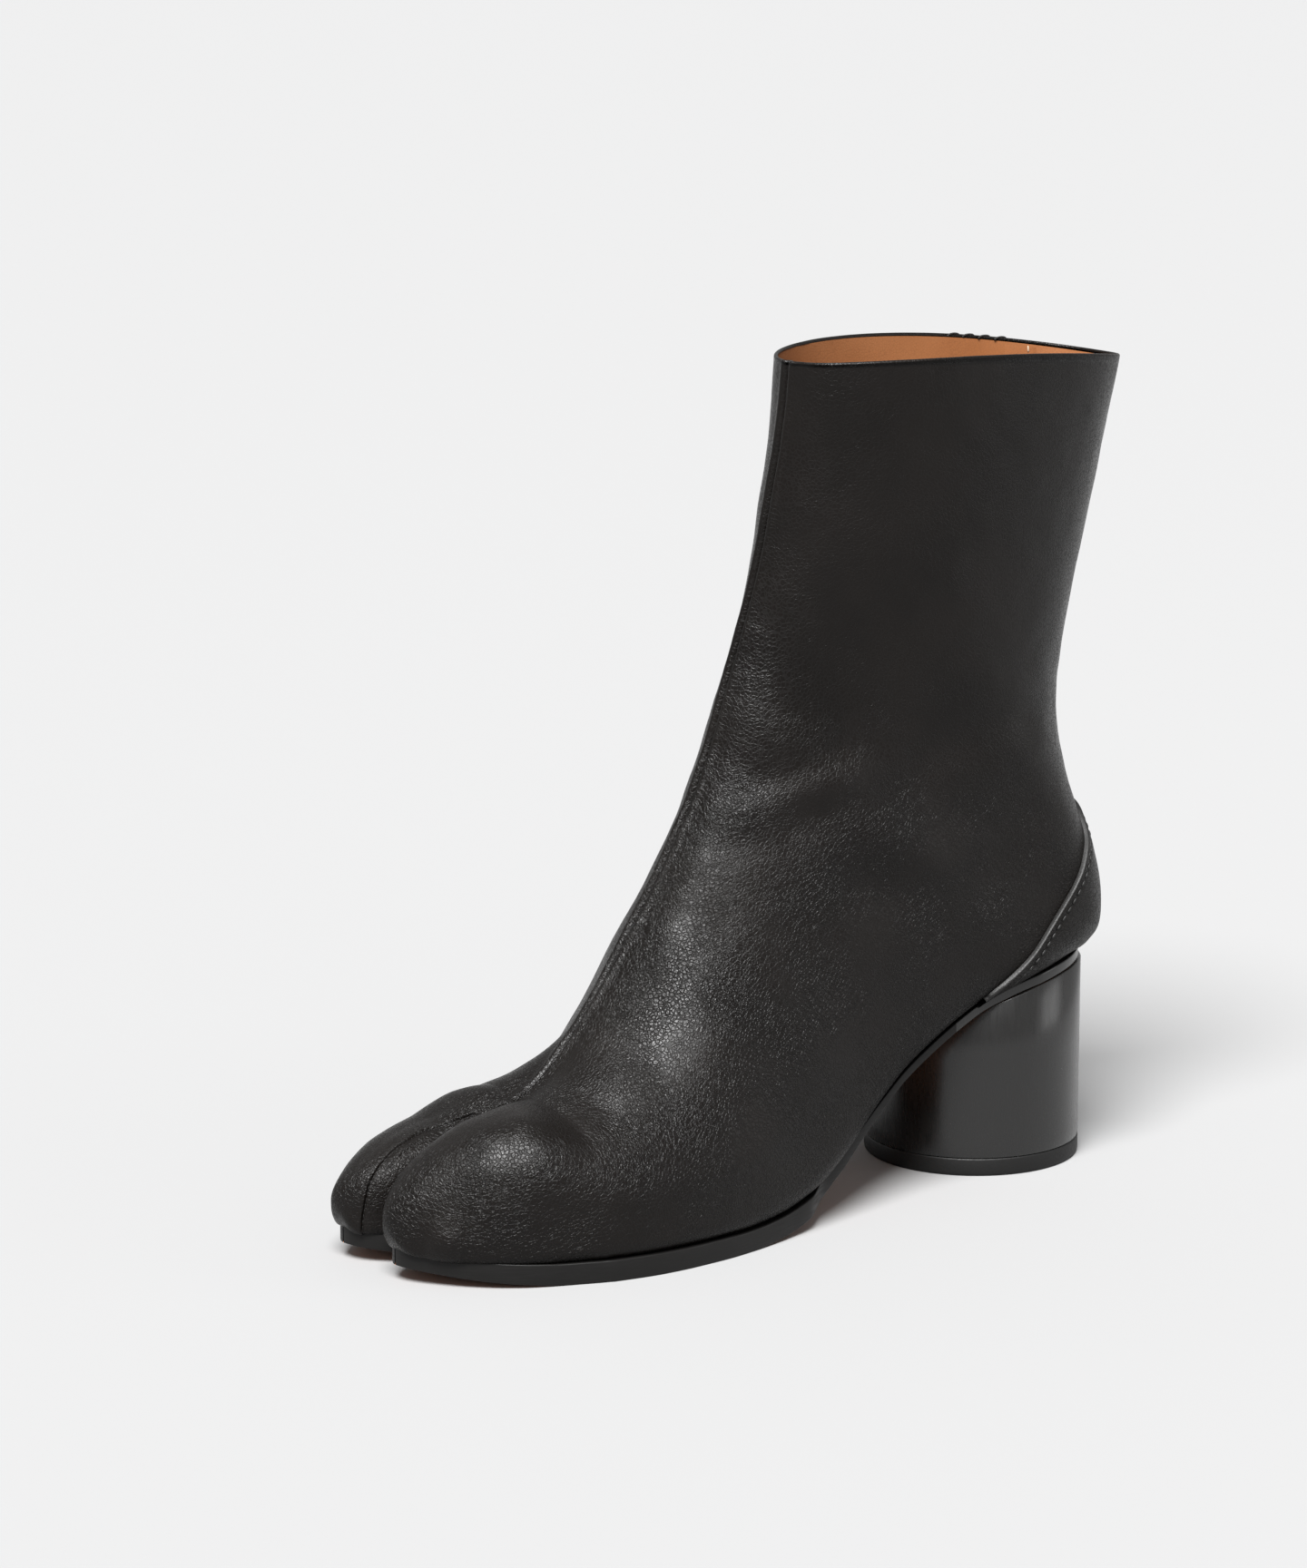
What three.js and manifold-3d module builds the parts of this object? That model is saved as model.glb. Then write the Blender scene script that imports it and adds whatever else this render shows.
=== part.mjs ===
import * as THREE from 'three';
import { mergeVertices } from 'three/addons/utils/BufferGeometryUtils.js';
import Module from 'manifold-3d';

// Split-toe ankle boot with a round block heel, left foot, in millimetres with +Z up.
// The toe points to -Y and the outer side to +X. The origin is the centre of the heel's bottom face.

const LENGTH = 238.5;          // toe tip to the back of the heel counter
const BALL_WIDTH = 88;         // upper, across the ball
const INSTEP_HEIGHT = 79;      // heel seat to the bend of the instep
const SHAFT_HEIGHT = 169;      // heel seat to the front of the collar
const COLLAR_WIDTH = 57;       // across the collar
const WALL = 2;                // leather and lining of the upper
const SPLIT_LENGTH = 49;       // toe tip to the bottom of the toe split
const SPLIT_WIDTH = 1.6;       // clear slit between the two toes
const TOE_PINCH = 3.5;         // dip of the instep at the bottom of the split
const SEAM_DEPTH = 0.7;        // groove of the front seam
const HEEL_DIAMETER = 60;
const HEEL_HEIGHT = 58.3;      // floor to the top of the sole at the heel
const TOP_LIFT = 5;            // wear piece under the heel
const COUNTER_OVERHANG = 4.5;  // heel counter behind the block heel
const COUNTER_HEIGHT = 42;     // heel seat to the counter's top at the back
const COUNTER_LENGTH = 46;     // counter's foot forward of its top
const OVERLAY = 1.2;           // thickness of counter and flap
const SOLE_THICKNESS = 5;
const SOLE_MARGIN = 0.8;       // sole edge outside the upper
const TOE_SPRING = 3.4;
const INSOLE_THICKNESS = 2.2;
const LASTING_MARGIN = 9;      // upper turned in under the foot
const FLAP_WIDTH = 31;         // closure flap on the inner side
const GAP = 0.3;               // clearance between pieces

const BACK = HEEL_DIAMETER / 2 + COUNTER_OVERHANG;
const RISE = HEEL_HEIGHT - SOLE_THICKNESS;
const SPLIT_Y = BACK - LENGTH + SPLIT_LENGTH;

// Length share, measured from the back of the counter, as a Y coordinate.
const station = (share) => BACK - share * LENGTH;

// Sole, from heel to toe. heel: share of the heel's rise in the top face, spring: share of the
// toe spring, thick: share of the forefoot thickness.
const SOLE_ROWS = [
  // along   heel   spring thick
  [-0.040, 1.000, 0.00, 0.40],
  [0.057, 1.000, 0.00, 0.40],
  [0.099, 0.985, 0.00, 0.40],
  [0.140, 0.955, 0.00, 0.40],
  [0.174, 0.913, 0.00, 0.40],
  [0.212, 0.855, 0.00, 0.40],
  [0.254, 0.770, 0.00, 0.40],
  [0.300, 0.660, 0.00, 0.40],
  [0.338, 0.555, 0.00, 0.42],
  [0.367, 0.455, 0.00, 0.46],
  [0.405, 0.325, 0.00, 0.55],
  [0.447, 0.185, 0.00, 0.70],
  [0.488, 0.085, 0.00, 0.88],
  [0.551, 0.018, 0.00, 1.00],
  [0.610, 0.000, 0.00, 1.00],
  [0.824, 0.000, 0.00, 1.00],
  [0.883, 0.000, 0.20, 0.94],
  [0.929, 0.000, 0.46, 0.84],
  [0.962, 0.000, 0.72, 0.75],
  [1.017, 0.000, 1.10, 0.62],
];

// Upper, from the split between the toes to the collar. Each row is a section between a low point
// (sole or back of the heel) and a top point (instep or front of the shaft). low and top: length
// share; up: low point above the sole as a share of the shaft; rise, instep, shaft: shares of the
// heel's rise, the instep height and the rest of the shaft that the top point has; tall: 0 takes
// widths from the ball, 1 from the collar; outer, inner: half widths as shares of that width;
// wide: where the section is widest; foot, crest: corner powers of its two halves; ridge: seam
// beside the centre line; bow: sides above the straight section; full: the inner half's crest as a
// share of the outer half's.
const UPPER_COLUMNS = ['low', 'up', 'top', 'rise', 'instep', 'shaft', 'tall', 'outer', 'inner',
  'wide', 'foot', 'crest', 'ridge', 'bow', 'full'];
const UPPER_ROWS = [
  // low    up     top    rise  instep shaft  tall outer  inner  wide  foot crest ridge bow full
  [0.795, 0.000, 0.795, 0.000, 0.475, 0.000, 0.0, 0.472, 0.414, 0.36, 11.0, 2.25, 0.0, 0.0, 0.85],
  [0.748, 0.000, 0.757, 0.000, 0.539, 0.000, 0.0, 0.498, 0.432, 0.32, 11.0, 1.90, 0.0, 0.0, 0.79],
  [0.698, 0.000, 0.713, 0.020, 0.657, 0.000, 0.0, 0.509, 0.439, 0.28, 11.0, 1.58, 0.0, 0.0, 0.72],
  [0.639, 0.000, 0.673, 0.080, 0.765, 0.000, 0.0, 0.505, 0.434, 0.26, 11.0, 1.52, 0.0, 0.0, 0.82],
  [0.572, 0.000, 0.639, 0.180, 0.841, 0.000, 0.0, 0.482, 0.418, 0.25, 10.0, 1.58, 0.0, 0.0, 0.93],
  [0.505, 0.000, 0.609, 0.330, 0.875, 0.000, 0.0, 0.445, 0.382, 0.25, 9.0, 1.62, 0.0, 0.0, 0.96],
  [0.438, 0.000, 0.584, 0.510, 0.880, 0.000, 0.1, 0.422, 0.363, 0.26, 8.0, 1.68, 0.0, 0.0, 0.98],
  [0.371, 0.000, 0.561, 0.700, 0.872, 0.000, 0.3, 0.414, 0.371, 0.27, 7.0, 1.72, 0.0, 0.0, 1.00],
  [0.304, 0.000, 0.544, 0.850, 0.885, 0.000, 0.5, 0.433, 0.397, 0.27, 7.0, 1.76, 0.0, 0.0, 1.00],
  [0.229, 0.000, 0.530, 0.950, 0.925, 0.000, 0.7, 0.468, 0.440, 0.25, 7.0, 1.80, 0.0, 0.0, 1.00],
  [0.149, 0.000, 0.519, 1.000, 0.992, 0.000, 0.9, 0.528, 0.508, 0.22, 7.0, 1.84, 0.2, 0.0, 1.00],
  [0.086, 0.000, 0.509, 1.000, 1.000, 0.071, 1.0, 0.541, 0.526, 0.20, 4.4, 1.86, 0.4, 0.0, 1.00],
  [0.040, 0.001, 0.501, 1.000, 1.000, 0.138, 1.0, 0.530, 0.519, 0.20, 2.9, 1.88, 0.6, 0.0, 1.00],
  [0.016, 0.020, 0.494, 1.000, 1.000, 0.204, 1.0, 0.523, 0.512, 0.22, 2.6, 1.88, 0.8, 0.0, 1.00],
  [0.008, 0.073, 0.487, 1.000, 1.000, 0.260, 1.0, 0.512, 0.504, 0.25, 2.4, 1.88, 1.0, 0.0, 1.00],
  [0.013, 0.138, 0.480, 1.000, 1.000, 0.327, 1.0, 0.502, 0.493, 0.29, 2.3, 1.88, 1.3, 0.0, 1.00],
  [0.026, 0.204, 0.473, 1.000, 1.000, 0.399, 1.0, 0.491, 0.484, 0.34, 2.2, 1.88, 1.6, 0.0, 1.00],
  [0.041, 0.275, 0.466, 1.000, 1.000, 0.482, 1.0, 0.484, 0.479, 0.39, 2.2, 1.90, 2.0, 0.2, 1.00],
  [0.053, 0.363, 0.461, 1.000, 1.000, 0.560, 1.0, 0.477, 0.472, 0.43, 2.2, 1.92, 2.4, 0.5, 1.00],
  [0.047, 0.482, 0.454, 1.000, 1.000, 0.660, 1.0, 0.475, 0.470, 0.46, 2.2, 1.96, 2.8, 1.0, 1.00],
  [0.022, 0.630, 0.447, 1.000, 1.000, 0.760, 1.0, 0.481, 0.475, 0.48, 2.2, 2.00, 3.2, 1.8, 1.00],
  [-0.007, 0.789, 0.442, 1.000, 1.000, 0.871, 1.0, 0.489, 0.484, 0.50, 2.2, 2.05, 3.6, 2.6, 1.00],
  [-0.037, 0.964, 0.438, 1.000, 1.000, 1.004, 1.0, 0.500, 0.500, 0.50, 2.2, 2.10, 4.0, 3.2, 1.00],
];

// The two toes. tip: length share of the tip, side: tip beside the split and far: outer edge, as
// shares of the ball width; height: tip above the sole and crest: top above the sole, as shares
// of the instep height; near: inner edge beyond the slit, in shares of the ball width.
const TOES = {
  outer: { tip: 0.989, side: 0.110, height: 0.100, round: 0.150, rows: [
    // along  far    near   crest
    [0.795, 0.472, 0.000, 0.475],
    [0.837, 0.432, 0.000, 0.478],
    [0.883, 0.401, 0.004, 0.472],
    [0.929, 0.358, 0.012, 0.440],
    [0.992, 0.250, 0.030, 0.380],
  ] },
  inner: { tip: 0.991, side: 0.160, height: 0.100, round: 0.152, rows: [
    // along  far    near   crest
    [0.795, 0.414, 0.000, 0.475],
    [0.837, 0.396, 0.000, 0.390],
    [0.883, 0.370, 0.004, 0.362],
    [0.929, 0.334, 0.012, 0.358],
    [1.000, 0.250, 0.030, 0.330],
  ] },
};

// Heel counter and closure flap seen from the side. ahead: share of the counter's length in front
// of its top, up: share of the counter's height.
const COUNTER_EDGE = [
  [-0.60, 1.060],
  [0.000, 1.000],
  [0.180, 0.760],
  [0.400, 0.470],
  [0.640, 0.190],
  [0.860, -0.010],
  [1.000, -0.120],
];
// Closure flap's free edge. along: length share, up: share of the shaft above the heel seat.
const FLAP_EDGE = [
  [0.158, 1.060],
  [0.166, 0.800],
  [0.176, 0.560],
  [0.184, 0.360],
  [0.190, 0.180],
];

const wasm = await Module();
wasm.setup();

const mix = (a, b, t) => a + (b - a) * t;
const clamp = (x, a, b) => Math.min(b, Math.max(a, x));
const ease = (t) => {
  const k = clamp(t, 0, 1);
  return k * k * (3 - 2 * k);
};
const power = (x, e) => (Math.abs(x) < 1e-9 ? 0 : Math.sign(x) * Math.abs(x) ** e);

// Value of a table column at x, on a cubic that stays between its rows.
function along(rows, column, x) {
  const n = rows.length;
  let i = 0;
  while (i < n - 2 && x > rows[i + 1][0]) i += 1;
  const slope = (k) => (rows[k + 1][column] - rows[k][column]) / (rows[k + 1][0] - rows[k][0]);
  const tangent = (k) => {
    if (k === 0) return slope(0);
    if (k === n - 1) return slope(n - 2);
    const a = slope(k - 1);
    const b = slope(k);
    return a * b <= 0 ? 0 : (2 * a * b) / (a + b);
  };
  const h = rows[i + 1][0] - rows[i][0];
  const t = clamp((x - rows[i][0]) / h, 0, 1);
  const a = rows[i][column];
  const b = rows[i + 1][column];
  const t2 = t * t;
  const t3 = t2 * t;
  return a * (2 * t3 - 3 * t2 + 1) + b * (3 * t2 - 2 * t3)
    + h * (tangent(i) * (t3 - 2 * t2 + t) + tangent(i + 1) * (t3 - t2));
}

// Row of the upper at any position between the table's rows.
function blendRow(u) {
  const n = UPPER_ROWS.length;
  const i = clamp(Math.floor(u), 0, n - 2);
  const t = u - i;
  const row = {};
  UPPER_COLUMNS.forEach((name, c) => {
    const at = (k) => UPPER_ROWS[clamp(k, 0, n - 1)][c];
    const a = at(i);
    const b = at(i + 1);
    const ta = i === 0 ? b - a : (b - at(i - 1)) / 2;
    const tb = i === n - 2 ? b - a : (at(i + 2) - a) / 2;
    row[name] = t > 1 ? b + tb * (t - 1)
      : a * (2 * t ** 3 - 3 * t * t + 1) + b * (3 * t * t - 2 * t ** 3)
        + ta * (t ** 3 - 2 * t * t + t) + tb * (t ** 3 - t * t);
  });
  return row;
}

const soleShare = (y) => (BACK - y) / LENGTH;
const soleTop = (y) => SOLE_THICKNESS + RISE * along(SOLE_ROWS, 1, soleShare(y))
  + TOE_SPRING * along(SOLE_ROWS, 2, soleShare(y));
const soleBottom = (y) => soleTop(y) - SOLE_THICKNESS * along(SOLE_ROWS, 3, soleShare(y));

// Low and top point of the section at u, as [y, z].
function sectionEnds(u) {
  const row = blendRow(u);
  const lowY = station(row.low);
  const low = [lowY, soleTop(lowY) + GAP + row.up * SHAFT_HEIGHT];
  const top = [station(row.top), SOLE_THICKNESS + GAP + row.rise * RISE + row.instep * INSTEP_HEIGHT
    + row.shaft * (SHAFT_HEIGHT - INSTEP_HEIGHT)];
  return { row, low, top };
}

// Section at u pulled in by inset: its ends, half widths and powers.
function section(u, inset) {
  const { row, low, top } = sectionEnds(u);
  const before = sectionEnds(Math.max(0, u - 0.2));
  const after = sectionEnds(u + 0.2);
  const length = Math.hypot(top[0] - low[0], top[1] - low[1]);
  const dir = [(top[0] - low[0]) / length, (top[1] - low[1]) / length];
  const slant = (a, b) => {
    const d = [b[0] - a[0], b[1] - a[1]];
    return clamp(Math.abs(dir[0] * d[1] - dir[1] * d[0]) / Math.hypot(...d), 0.55, 1);
  };
  const lowIn = inset / slant(before.low, after.low);
  const topIn = inset / slant(before.top, after.top);
  const width = mix(BALL_WIDTH, COLLAR_WIDTH, row.tall);
  return {
    row,
    dir,
    low: [low[0] + dir[0] * lowIn, low[1] + dir[1] * lowIn],
    top: [top[0] - dir[0] * topIn, top[1] - dir[1] * topIn],
    outer: row.outer * width - inset,
    inner: row.inner * width - inset,
    pinch: TOE_PINCH * (1 - ease(u / 2.6)),
  };
}

const slitX = (y) => -3 * ease((SPLIT_Y - y) / SPLIT_LENGTH);

// Angles around a section, evenly spread along its outline between the marks in stops.
function spread(outline, stops, counts) {
  const list = [];
  stops.slice(1).forEach((stop, k) => {
    const steps = 60;
    const points = [];
    for (let i = 0; i <= steps; i += 1) points.push(outline(mix(stops[k], stop, i / steps)));
    const sums = [0];
    for (let i = 1; i <= steps; i += 1) {
      sums.push(sums[i - 1] + points[i].distanceTo(points[i - 1]));
    }
    const { count, bias } = counts[k];
    for (let j = k === 0 ? 0 : 1; j <= count; j += 1) {
      const goal = sums[steps] * (bias > 0 ? (j / count) ** bias : 1 - (1 - j / count) ** -bias);
      let i = 1;
      while (i < steps && sums[i] < goal) i += 1;
      const span = sums[i] - sums[i - 1];
      list.push(points[i - 1].clone().lerp(points[i], span > 0 ? (goal - sums[i - 1]) / span : 0));
    }
  });
  return list;
}

const QUARTER = Math.PI / 2;

// Half of the section at u, from the middle of its low end to the seam. side: 1 outer, -1 inner.
function halfSection(u, side, inset, grid) {
  const s = section(u, inset);
  const w = side > 0 ? s.outer : s.inner;
  const across = [-s.dir[1], s.dir[0]];
  const outline = (angle) => {
    const e = 2 / (angle < 0 ? s.row.foot : s.row.crest * (side > 0 ? 1 : s.row.full));
    const x = w * power(Math.max(0, Math.cos(angle)), e);
    const rise = power(Math.sin(angle), e);
    const v = s.row.wide + rise * (angle < 0 ? s.row.wide : 1 - s.row.wide);
    const mid = mix(0, s.row.ridge, clamp(v, 0, 1));
    const lift = s.row.bow * 4 * v * (1 - v);
    const sink = angle > 0 ? s.pinch * Math.exp(-((x / 7) ** 2))
      + (inset > 0 ? 0 : SEAM_DEPTH * clamp(1 - x / 1.8, 0, 1)) : 0;
    return new THREE.Vector3(
      mid + side * x,
      mix(s.low[0], s.top[0], v) - across[0] * lift - s.dir[0] * sink,
      mix(s.low[1], s.top[1], v) - across[1] * lift - s.dir[1] * sink,
    );
  };
  return spread(outline, [-QUARTER, -QUARTER / 2, 0, QUARTER], [
    { count: grid.under, bias: -1.7 },
    { count: grid.side, bias: 1.5 },
    { count: grid.over, bias: inset > 0 ? 1 : -1.25 },
  ]);
}

// Closed outline of one toe at y: the half section's columns, then the wall of the split.
function toeSection(y, side, inset, grid, base) {
  const toe = side > 0 ? TOES.outer : TOES.inner;
  const tipY = station(toe.tip) + inset;
  const ahead = Math.max(0, y - tipY);
  const at = (BACK - y) / LENGTH;
  const close = (reach, n) => (ahead >= reach ? 1 : (1 - (1 - ahead / reach) ** n) ** (1 / n));
  const round = toe.round * LENGTH;
  const tipQ = toe.side * BALL_WIDTH;
  const tipZ = soleTop(tipY) + GAP + toe.height * INSTEP_HEIGHT;
  const far = mix(tipQ, along(toe.rows, 1, at) * BALL_WIDTH - inset, close(round, 2.3));
  const slit = SPLIT_WIDTH / 2 * ease((SPLIT_Y - y + inset) / 6) + inset;
  const near = mix(tipQ, along(toe.rows, 2, at) * BALL_WIDTH + slit, close(round * 0.4, 2.1));
  const crest = mix(tipZ, soleTop(y) + GAP + along(toe.rows, 3, at) * INSTEP_HEIGHT - inset,
    close(round * 1.25, 1.9));
  const low = mix(tipZ, soleTop(y) + GAP + inset, close(round * 0.13, 2));
  const middle = (far + near) / 2;
  const half = (far - near) / 2;
  const wide = low + (crest - low) * 0.4;
  const foot = mix(2.4, 9, close(round * 0.5, 2));
  const outline = (angle) => {
    const c = Math.cos(angle);
    const z = Math.sin(angle);
    const e = 2 / (z < 0 ? foot : c < 0 ? 3.2 : 2.05);
    return new THREE.Vector3(
      slitX(y) + side * (middle + half * power(c, e)),
      y,
      wide + power(z, e) * (z < 0 ? wide - low : crest - wide),
    );
  };
  const shape = spread(outline, [-1.5 * QUARTER, -QUARTER / 2, 0, 1.5 * QUARTER, 2.5 * QUARTER], [
    { count: grid.under, bias: -1.3 },
    { count: grid.side, bias: 1.5 },
    { count: grid.over, bias: 1 },
    { count: grid.split, bias: 1 },
  ]);
  const part = ease((base.y - y) / 17);
  const baseFar = along(toe.rows, 1, toe.rows[0][0]) * BALL_WIDTH;
  const nowFar = along(toe.rows, 1, at) * BALL_WIDTH;
  return shape.map((p, k) => {
    const b = base.ring[k % base.ring.length];
    const q = Math.abs(b.x) * (nowFar / baseFar);
    const start = new THREE.Vector3(
      slitX(y) + side * Math.max(q, slit),
      b.y + y - base.y,
      b.z + soleTop(y) - soleTop(base.y),
    );
    return start.lerp(p, part);
  });
}

// Closed form of the whole foot and shaft, pulled in by inset. over: how far past the collar.
function footForm(inset, grid, over) {
  const last = UPPER_ROWS.length - 1;
  const first = Math.max(0, inset) / (LENGTH * (UPPER_ROWS[0][0] - UPPER_ROWS[1][0]));
  const us = [first];
  grid.marks.forEach((u) => {
    if (u > first + 0.3) us.push(u);
  });
  if (over > 0) us.push(last + over);
  const positions = [];
  const quad = (a, b, c, d) => {
    [a, b, c, a, c, d].forEach((p) => positions.push(p.x, p.y, p.z));
  };
  const strip = (lower, upper, side) => {
    for (let k = 0; k < lower.length - 1; k += 1) {
      if (side > 0) quad(lower[k], lower[k + 1], upper[k + 1], upper[k]);
      else quad(lower[k + 1], lower[k], upper[k], upper[k + 1]);
    }
  };
  const count = grid.under + grid.side + grid.over;
  [1, -1].forEach((side) => {
    const rings = us.map((u) => halfSection(u, side, inset, grid));
    for (let i = 0; i < rings.length - 1; i += 1) strip(rings[i], rings[i + 1], side);
    const seam = rings[0][count];
    const floor = rings[0][0];
    const wall = [];
    for (let k = 1; k < grid.split; k += 1) wall.push(seam.clone().lerp(floor, k / grid.split));
    const base = { y: floor.y, ring: [...rings[0], ...wall] };
    const baseRing = [...base.ring, base.ring[0]];
    let previous = baseRing;
    const tipY = station((side > 0 ? TOES.outer : TOES.inner).tip) + inset;
    for (let k = 1; k <= grid.toe; k += 1) {
      const y = mix(base.y, tipY, Math.sin(QUARTER * (k / grid.toe)));
      const ring = toeSection(y, side, inset, grid, base);
      ring[ring.length - 1] = ring[0].clone();
      strip(ring, previous, side);
      previous = ring;
    }
  });
  const rimOuter = halfSection(us[us.length - 1], 1, inset, grid);
  const rimInner = halfSection(us[us.length - 1], -1, inset, grid);
  for (let k = 0; k < count; k += 1) {
    quad(rimOuter[k], rimOuter[k + 1], rimInner[k + 1], rimInner[k]);
  }
  return solid(positions);
}

// Slab between two heights with its edges at left and right, one entry per row.
function slab(rows) {
  const positions = [];
  const quad = (a, b, c, d) => {
    [a, b, c, a, c, d].forEach((p) => positions.push(...p));
  };
  const ring = (r) => [
    [r.left, r.y, r.low],
    [r.right, r.y, r.low],
    [r.right, r.y, r.high],
    [r.left, r.y, r.high],
  ];
  for (let i = 0; i < rows.length - 1; i += 1) {
    const a = ring(rows[i]);
    const b = ring(rows[i + 1]);
    for (let k = 0; k < 4; k += 1) quad(a[k], a[(k + 1) % 4], b[(k + 1) % 4], b[k]);
  }
  const start = ring(rows[0]);
  const end = ring(rows[rows.length - 1]);
  quad(start[3], start[2], start[1], start[0]);
  quad(...end);
  return solid(positions);
}

// Solid from a list of triangle corners, turned so that its faces point out.
function solid(positions) {
  let geometry = new THREE.BufferGeometry();
  geometry.setAttribute('position', new THREE.Float32BufferAttribute(positions, 3));
  geometry = mergeVertices(geometry, 1e-3);
  const p = geometry.attributes.position;
  const index = [];
  const [a, b, c] = [new THREE.Vector3(), new THREE.Vector3(), new THREE.Vector3()];
  let volume = 0;
  for (let i = 0; i < geometry.index.count; i += 3) {
    const t = [0, 1, 2].map((k) => geometry.index.getX(i + k));
    if (t[0] !== t[1] && t[1] !== t[2] && t[2] !== t[0]) {
      index.push(...t);
      a.fromBufferAttribute(p, t[0]);
      b.fromBufferAttribute(p, t[1]);
      c.fromBufferAttribute(p, t[2]);
      volume += a.dot(b.cross(c));
    }
  }
  if (volume < 0) index.reverse();
  const body = new wasm.Manifold(new wasm.Mesh({
    numProp: 3,
    vertProperties: new Float32Array(p.array),
    triVerts: new Uint32Array(index),
  }));
  return body;
}

// Prism along X over a closed outline of [y, z] points.
function sidePrism(outline, from, to) {
  const shape = new THREE.Shape(outline.map(([y, z]) => new THREE.Vector2(y, z)));
  const geometry = new THREE.ExtrudeGeometry(shape, { depth: to - from, bevelEnabled: false });
  geometry.applyMatrix4(new THREE.Matrix4().makeBasis(
    new THREE.Vector3(0, 1, 0),
    new THREE.Vector3(0, 0, 1),
    new THREE.Vector3(1, 0, 0),
  ));
  geometry.translate(from, 0, 0);
  return solid(Array.from(geometry.attributes.position.array));
}

function mesh(name, body, color, roughness, metalness = 0) {
  const data = body.getMesh();
  const geometry = new THREE.BufferGeometry();
  geometry.setAttribute('position', new THREE.Float32BufferAttribute(data.vertProperties, 3));
  geometry.setIndex(new THREE.Uint32BufferAttribute(data.triVerts, 1));
  geometry.computeVertexNormals();
  const item = new THREE.Mesh(geometry,
    new THREE.MeshStandardMaterial({ color, roughness, metalness }));
  item.name = name;
  return item;
}

// Rows of the footprint from the heel to the split: the upper's edge just above the sole.
function footprint(inset, lift) {
  const rows = [];
  const last = 10;
  const coarse = { under: 4, side: 60, over: 1 };
  const edge = (u, side) => {
    const points = halfSection(u, side, inset, coarse);
    const limit = points[0].z + lift;
    return Math.max(...points.filter((p) => p.z <= limit).map((p) => Math.abs(p.x)));
  };
  for (let u = last; u >= 0; u -= 0.5) {
    const ends = section(u, inset);
    rows.push({ y: ends.low[0], outer: edge(u, 1), inner: edge(u, -1) });
  }
  return rows;
}

// Outline rows of the heel seat behind the widest point of the heel, on the block heel's circle.
function seatRows(radius, wideOuter, wideInner) {
  const rows = [];
  for (let k = 9; k >= 1; k -= 1) {
    const angle = QUARTER * (k / 9) * 0.985;
    rows.push({
      y: radius * Math.sin(angle),
      outer: wideOuter * Math.cos(angle),
      inner: wideInner * Math.cos(angle),
    });
  }
  return rows;
}

// Plan of one toe from behind the split to its tip, widened by margin.
function toePlan(side, margin, count) {
  const toe = side > 0 ? TOES.outer : TOES.inner;
  const rows = [];
  const turnIn = 0.02 * LENGTH;
  const tipY = station(toe.tip) + turnIn * 0.75 - margin;
  const round = toe.round * LENGTH;
  const slit = SPLIT_WIDTH / 2;
  const hold = Math.max(0, -margin);
  for (let k = 0; k <= count; k += 1) {
    const turn = Math.sin(QUARTER * ((k - 1) / (count - 1)) * 0.985);
    const y = k === 0 ? SPLIT_Y + hold + 3 : mix(SPLIT_Y + hold - 1, tipY, turn);
    const at = (BACK - y) / LENGTH;
    const ahead = Math.max(0, y - tipY);
    const close = (reach, n) => (ahead >= reach ? 1 : (1 - (1 - ahead / reach) ** n) ** (1 / n));
    const tipQ = toe.side * BALL_WIDTH;
    const far = mix(tipQ, along(toe.rows, 1, at) * BALL_WIDTH - 1.4 + margin, close(round, 2.3));
    const near = mix(tipQ, along(toe.rows, 2, at) * BALL_WIDTH + slit - Math.min(margin, 0.2),
      close(round * 0.4, 2.1));
    rows.push({ y, far, near });
  }
  return rows;
}

// Rows behind edge, ended by one exactly on it.
function cutRows(rows, edge) {
  const kept = rows.filter((r) => r.y > edge + 0.5);
  const last = kept[kept.length - 1];
  const next = rows[kept.length] ?? last;
  const t = next === last ? 0 : (edge - last.y) / (next.y - last.y);
  kept.push({ y: edge, outer: mix(last.outer, next.outer, t), inner: mix(last.inner, next.inner, t) });
  return kept;
}

// Slab that follows the whole footprint with its split toe. margin: outside the upper's edge.
function footSlab(margin, low, high, heel) {
  const edge = SPLIT_Y + Math.max(0, -margin);
  const body = cutRows(footprint(0, 1.6), edge);
  body.forEach((r) => {
    const block = margin > 0 ? Math.sqrt(Math.max(0, heel ** 2 - r.y ** 2)) - margin : 0;
    r.outer = Math.max(r.outer, block);
    r.inner = Math.max(r.inner, block);
  });
  const wide = body[0];
  const seat = heel ? seatRows(heel, wide.outer + margin, wide.inner + margin)
    .map((r) => ({ ...r, y: r.y + wide.y })) : [];
  const rows = [
    ...seat,
    ...body.map((r) => ({ y: r.y, outer: r.outer + margin, inner: r.inner + margin })),
  ];
  let whole = slab(rows.map((r) => ({
    y: r.y, left: -r.inner, right: r.outer, low: low(r.y), high: high(r.y),
  })));
  [1, -1].forEach((side) => {
    const plan = toePlan(side, margin, 13);
    whole = whole.add(slab(plan.map((r, k) => {
      const a = slitX(r.y) + side * r.near;
      const b = slitX(r.y) + side * (k === 0 ? r.far - 0.4 : r.far);
      return {
        y: r.y, left: Math.min(a, b), right: Math.max(a, b), low: low(r.y), high: high(r.y),
      };
    })));
  });
  return whole;
}

const even = (from, to, step) => {
  const list = [];
  for (let u = from; u <= to + 1e-6; u += step) list.push(u);
  return list;
};

const fine = { under: 3, side: 4, over: 11, split: 4, toe: 11,
  marks: even(0.5, 22, 0.5) };
const coarse = { under: 3, side: 3, over: 8, split: 3, toe: 8, marks: even(1, 22, 1) };

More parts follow.
